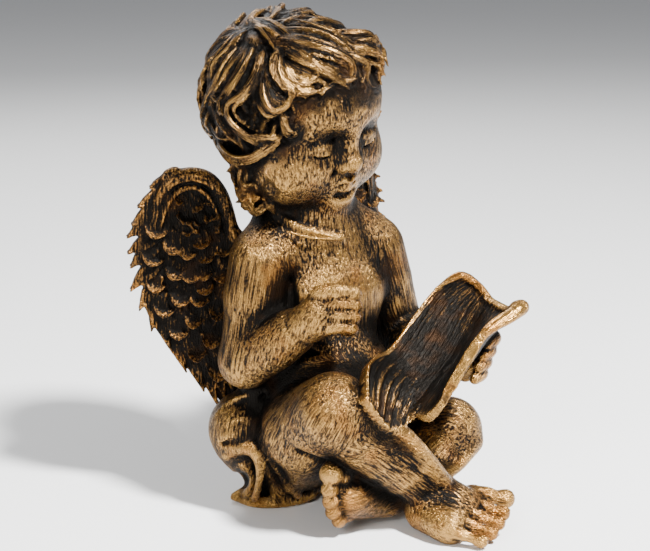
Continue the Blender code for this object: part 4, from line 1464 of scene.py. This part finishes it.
class Nodes:
    """Short ways to add the nodes that a finish is made of."""

    def __init__(self, tree):
        self.tree = tree

    def put(self, socket, value):
        if isinstance(value, bpy.types.NodeSocket):
            self.tree.links.new(value, socket)
        else:
            socket.default_value = value

    def attribute(self, name, output="Fac"):
        node = self.tree.nodes.new("ShaderNodeAttribute")
        node.attribute_name = name
        return node.outputs[output]

    def math(self, operation, first, second=0.0, clamp=False):
        node = self.tree.nodes.new("ShaderNodeMath")
        node.operation = operation
        node.use_clamp = clamp
        self.put(node.inputs[0], first)
        self.put(node.inputs[1], second)
        return node.outputs[0]

    def add(self, *terms):
        """The sum of (value, factor) pairs."""
        total = None
        for value, factor in terms:
            part = self.math("MULTIPLY", value, factor)
            total = part if total is None else self.math("ADD", total, part)
        return total

    def spread(self, value, low, high, first=0.0, second=1.0):
        node = self.tree.nodes.new("ShaderNodeMapRange")
        self.put(node.inputs["Value"], value)
        self.put(node.inputs["From Min"], low)
        self.put(node.inputs["From Max"], high)
        self.put(node.inputs["To Min"], first)
        self.put(node.inputs["To Max"], second)
        return node.outputs["Result"]

    def noise(self, vector, scale, detail=3.0, roughness=0.5):
        node = self.tree.nodes.new("ShaderNodeTexNoise")
        self.put(node.inputs["Vector"], vector)
        node.inputs["Scale"].default_value = scale
        node.inputs["Detail"].default_value = detail
        node.inputs["Roughness"].default_value = roughness
        return node.outputs["Fac"]

    def mix(self, share, first, second):
        node = self.tree.nodes.new("ShaderNodeMix")
        node.data_type = "RGBA"
        self.put(node.inputs["Factor"], share)
        self.put(node.inputs["A"], first)
        self.put(node.inputs["B"], second)
        return node.outputs["Result"]

    def ramp(self, value, stops):
        node = self.tree.nodes.new("ShaderNodeValToRGB")
        self.put(node.inputs["Fac"], value)
        ramp = node.color_ramp
        for place, colour in stops[2:]:
            ramp.elements.new(place)
        for element, (place, colour) in zip(ramp.elements, sorted(stops)):
            element.position = place
            element.color = (*colour, 1)
        return node.outputs["Color"]


def antique_bronze():
    """A black-brown wash in the hollows, gold dry-brushed in fine streaks over what stands up, painted shade
    in wide hollows and at listed places, and painted light at listed places.
    """
    settings = bpy.context.scene.angel_casting
    material = bpy.data.materials.new("antique_bronze")
    tree, shader = nodes_for(material)
    make = Nodes(tree)
    place = tree.nodes.new("ShaderNodeTexCoord").outputs["Object"]
    stroke = make.attribute("stroke", "Vector")
    ridge = make.attribute("ridge")
    fold = make.attribute("fold")
    deep = make.attribute("deep")
    wash_and_shading_share = make.attribute("wash_and_painted_shading")
    hairs = make.noise(stroke, BRISTLES, 3.0, 0.6)
    lines = make.spread(hairs, 0.38, 0.62, -0.5, 0.5)
    strokes = make.noise(stroke, STREAKS, 2.0, 0.6)
    patches = make.noise(place, PATCHES, 3.0, 0.6)
    grit = make.noise(place, GRIT, 1.0, 0.5)
    high = make.math("MAXIMUM", ridge, 0.0)
    # Painted shade lowers the level in wide hollows and, with the wash, in creases; the wash share brings in
    # the listed painted shade and painted light.
    level = make.add((ridge, 1.6), (high, 3.6), (fold, -1.9), (deep, -1.9), (lines, 0.85), (strokes, 0.6),
                     (patches, 1.0), (grit, 0.9), (wash_and_shading_share, -0.9))
    # The noises average a half each; what is left raises the whole a little towards gold.
    level = make.math("SUBTRACT", level, (0.6 + 1.0 + 0.9) / 2 - 0.22)
    gold, middle, wash_and_painted_shading = tuple(settings.gold), tuple(settings.bronze), tuple(settings.wash_and_painted_shading)
    umber = tuple(part * 0.36 for part in middle)
    brass = tuple((a + b) / 2 for a, b in zip(middle, gold))
    colour = make.ramp(level, ((0.1, wash_and_painted_shading), (0.98, gold), (0.3, umber), (0.52, middle), (0.76, brass)))
    copper = make.math("MULTIPLY", make.attribute("copper"), make.spread(level, 0.3, 0.6), clamp=True)
    glow = make.spread(make.noise(place, GLOW, 2.0, 0.5), 0.54, 0.68, 0.0, 0.7)
    warm = make.math("ADD", copper, glow, clamp=True)
    # The redder metal's brightness follows the level, painted shade and painted light included.
    copper_brightness = make.spread(level, 0.2, 0.9, 0.12, 1.25)
    red = tree.nodes.new("ShaderNodeVectorMath")
    red.operation = "SCALE"
    make.put(red.inputs[0], tuple(settings.copper))
    make.put(red.inputs["Scale"], copper_brightness)
    colour = make.mix(make.math("MULTIPLY", warm, 0.65), colour, red.outputs[0])
    make.put(shader.inputs["Base Color"], colour)
    shader.inputs["Metallic"].default_value = 0.92
    make.put(shader.inputs["Roughness"], make.spread(level, 0.2, 0.9, 0.48, 0.27))
    bump = tree.nodes.new("ShaderNodeBump")
    bump.inputs["Strength"].default_value = 0.8
    bump.inputs["Distance"].default_value = 0.0004
    make.put(bump.inputs["Height"], make.add((lines, 0.55), (hairs, 0.6), (grit, 0.4)))
    make.put(shader.inputs["Normal"], bump.outputs["Normal"])
    return material


def plain_floor():
    material = bpy.data.materials.new("pale_floor")
    tree, shader = nodes_for(material)
    shader.inputs["Base Color"].default_value = (0.86, 0.86, 0.85, 1)
    shader.inputs["Roughness"].default_value = 0.6
    return material


# ---------------------------------------------------------------- stage

# Lamps aimed at the middle of the figure, in metres and watts: name, place, width and power.
LAMPS = (
    ("key", (0.15, -0.6, 0.95), 0.16, 60),
    ("fill", (-0.9, -0.5, 0.5), 0.4, 9),
    ("back", (0.3, 0.9, 0.9), 0.5, 8),
)
LAMP_TARGET = (0, 0, 0.09)


def aim(obj, target):
    """Turns a lamp or the camera to look at a place."""
    away = obj.location - Vector(target)
    obj.rotation_euler = away.to_track_quat("Z", "Y").to_euler()


def add_lamp(name, place, size, power):
    lamp = bpy.data.lights.new(name, "AREA")
    lamp.shape = "DISK"
    lamp.size = size
    lamp.energy = power
    obj = bpy.data.objects.new(name, lamp)
    obj.location = place
    bpy.context.scene.collection.objects.link(obj)
    aim(obj, LAMP_TARGET)


def lay_floor():
    mesh = bpy.data.meshes.new("floor")
    corners = [(x * FLOOR_HALF, y * FLOOR_HALF, 0) for x, y in ((-1, -1), (1, -1), (1, 1), (-1, 1))]
    mesh.from_pydata(corners, [], [(0, 1, 2, 3)])
    mesh.materials.append(plain_floor())
    floor = bpy.data.objects.new("floor", mesh)
    bpy.context.scene.collection.objects.link(floor)


def light_air():
    """A faint even light from all round."""
    world = bpy.data.worlds.new("studio_air")
    world.use_nodes = True
    air = world.node_tree.nodes["Background"]
    air.inputs["Color"].default_value = (0.93, 0.95, 1.0, 1)
    air.inputs["Strength"].default_value = 0.3
    bpy.context.scene.world = world


def set_camera(scene):
    settings = scene.angel_casting
    camera = bpy.data.cameras.new("camera")
    camera.sensor_width = 36
    camera.lens = settings.lens
    camera.clip_start = 0.01
    view = bpy.data.objects.new("camera", camera)
    around, rise = settings.azimuth, settings.elevation
    away = Vector((math.sin(around) * math.cos(rise), -math.cos(around) * math.cos(rise), math.sin(rise)))
    look = Vector((0, SETBACK * MILLIMETRE, LOOK_HEIGHT))
    view.location = look + away * settings.distance
    scene.collection.objects.link(view)
    aim(view, look)
    scene.camera = view


# ---------------------------------------------------------------- add-on

class AngelSettings(bpy.types.PropertyGroup):
    """Sizes and colours of the angel casting"""
    grain: bpy.props.FloatProperty(
        name="Grain", description="Cell size of the clay, in millimetres", default=0.6, min=0.4, max=2.0)
    triangles: bpy.props.IntProperty(
        name="Triangles", description="Most triangles in the finished casting", default=195000, min=20000)
    gold: bpy.props.FloatVectorProperty(
        name="Gold", description="Brushed-on gold on the high parts", default=(0.34, 0.185, 0.048),
        subtype="COLOR")
    bronze: bpy.props.FloatVectorProperty(
        name="Bronze", description="Bronze between the gold and the wash", default=(0.125, 0.066, 0.022),
        subtype="COLOR")
    # The darkest colour: the wash in the hollows, and painted shade.
    wash_and_painted_shading: bpy.props.FloatVectorProperty(
        name="Wash", description="Dark wash in the hollows", default=(0.0042, 0.0033, 0.0024),
        subtype="COLOR")
    copper: bpy.props.FloatVectorProperty(
        name="Copper", description="Redder metal on rubbed tips", default=(0.21, 0.078, 0.013),
        subtype="COLOR")
    azimuth: bpy.props.FloatProperty(
        name="Azimuth", description="Camera direction round the figure", default=math.radians(-35),
        subtype="ANGLE")
    elevation: bpy.props.FloatProperty(
        name="Elevation", description="Camera height above level", default=math.radians(13),
        subtype="ANGLE")
    distance: bpy.props.FloatProperty(
        name="Distance", description="Camera distance from the figure", default=0.6, subtype="DISTANCE",
        unit="LENGTH")
    lens: bpy.props.FloatProperty(name="Lens", description="Focal length", default=88.0, unit="CAMERA")


class ANGEL_OT_child(bpy.types.Operator):
    """Model the seated child: trunk, arms, legs, head and face"""
    bl_idname = "angel.child"
    bl_label = "Model Child"

    def execute(self, context):
        lump = model_trunk()
        lump.merge(model_head(), 3)
        for model_limb in (model_right_arm, model_left_arm, model_right_leg, model_left_leg):
            lump.merge(model_limb(), 2.5)
        studio["clay"] = lump
        return {"FINISHED"}


class ANGEL_OT_hair(bpy.types.Operator):
    """Model the curly hair, lock by lock"""
    bl_idname = "angel.hair"
    bl_label = "Model Hair"

    def execute(self, context):
        model_hair(clay())
        return {"FINISHED"}


class ANGEL_OT_wings(bpy.types.Operator):
    """Model both wings, feather by feather"""
    bl_idname = "angel.wings"
    bl_label = "Model Wings"

    def execute(self, context):
        lump = new_clay()
        model_wings(lump)
        clay().merge(lump, 2)
        return {"FINISHED"}


class ANGEL_OT_book(bpy.types.Operator):
    """Model the open book"""
    bl_idname = "angel.book"
    bl_label = "Model Book"

    def execute(self, context):
        lump = new_clay()
        model_book(lump)
        clay().merge(lump, 0.8)
        return {"FINISHED"}


class ANGEL_OT_cloth(bpy.types.Operator):
    """Model the cloth under the child"""
    bl_idname = "angel.cloth"
    bl_label = "Model Cloth"

    def execute(self, context):
        model_cloth(clay())
        return {"FINISHED"}


class ANGEL_OT_cast(bpy.types.Operator):
    """Cast the clay as one piece of metal and finish it as antique bronze"""
    bl_idname = "angel.cast"
    bl_label = "Cast Figure"

    def execute(self, context):
        figure = cast()
        write_surface_values(figure)
        figure.data.materials.append(antique_bronze())
        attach(figure, "root")
        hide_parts("angel_figure")
        return {"FINISHED"}


class ANGEL_OT_stage(bpy.types.Operator):
    """Set up the floor, the lights and the camera"""
    bl_idname = "angel.stage"
    bl_label = "Set Stage"

    def execute(self, context):
        lay_floor()
        light_air()
        for lamp in LAMPS:
            add_lamp(*lamp)
        set_camera(context.scene)
        return {"FINISHED"}


STEPS = (ANGEL_OT_child, ANGEL_OT_hair, ANGEL_OT_wings, ANGEL_OT_book, ANGEL_OT_cloth, ANGEL_OT_cast,
         ANGEL_OT_stage)


class ANGEL_PT_panel(bpy.types.Panel):
    """Lists the steps that make the angel casting"""
    bl_idname = "ANGEL_PT_panel"
    bl_label = "Angel Casting"
    bl_space_type = "VIEW_3D"
    bl_region_type = "UI"
    bl_category = "Angel"

    def draw(self, context):
        settings = context.scene.angel_casting
        for name in settings.bl_rna.properties.keys():
            if name not in ("rna_type", "name"):
                self.layout.prop(settings, name)
        for step in STEPS:
            self.layout.operator(step.bl_idname)


CLASSES = (AngelSettings, *STEPS, ANGEL_PT_panel)


def register():
    for item in CLASSES:
        bpy.utils.register_class(item)
    bpy.types.Scene.angel_casting = bpy.props.PointerProperty(type=AngelSettings)


def unregister():
    del bpy.types.Scene.angel_casting
    for item in reversed(CLASSES):
        bpy.utils.unregister_class(item)


def main():
    register()
    for step in STEPS:
        family, name = step.bl_idname.split(".")
        getattr(getattr(bpy.ops, family), name)()


if __name__ == "__main__":
    main()
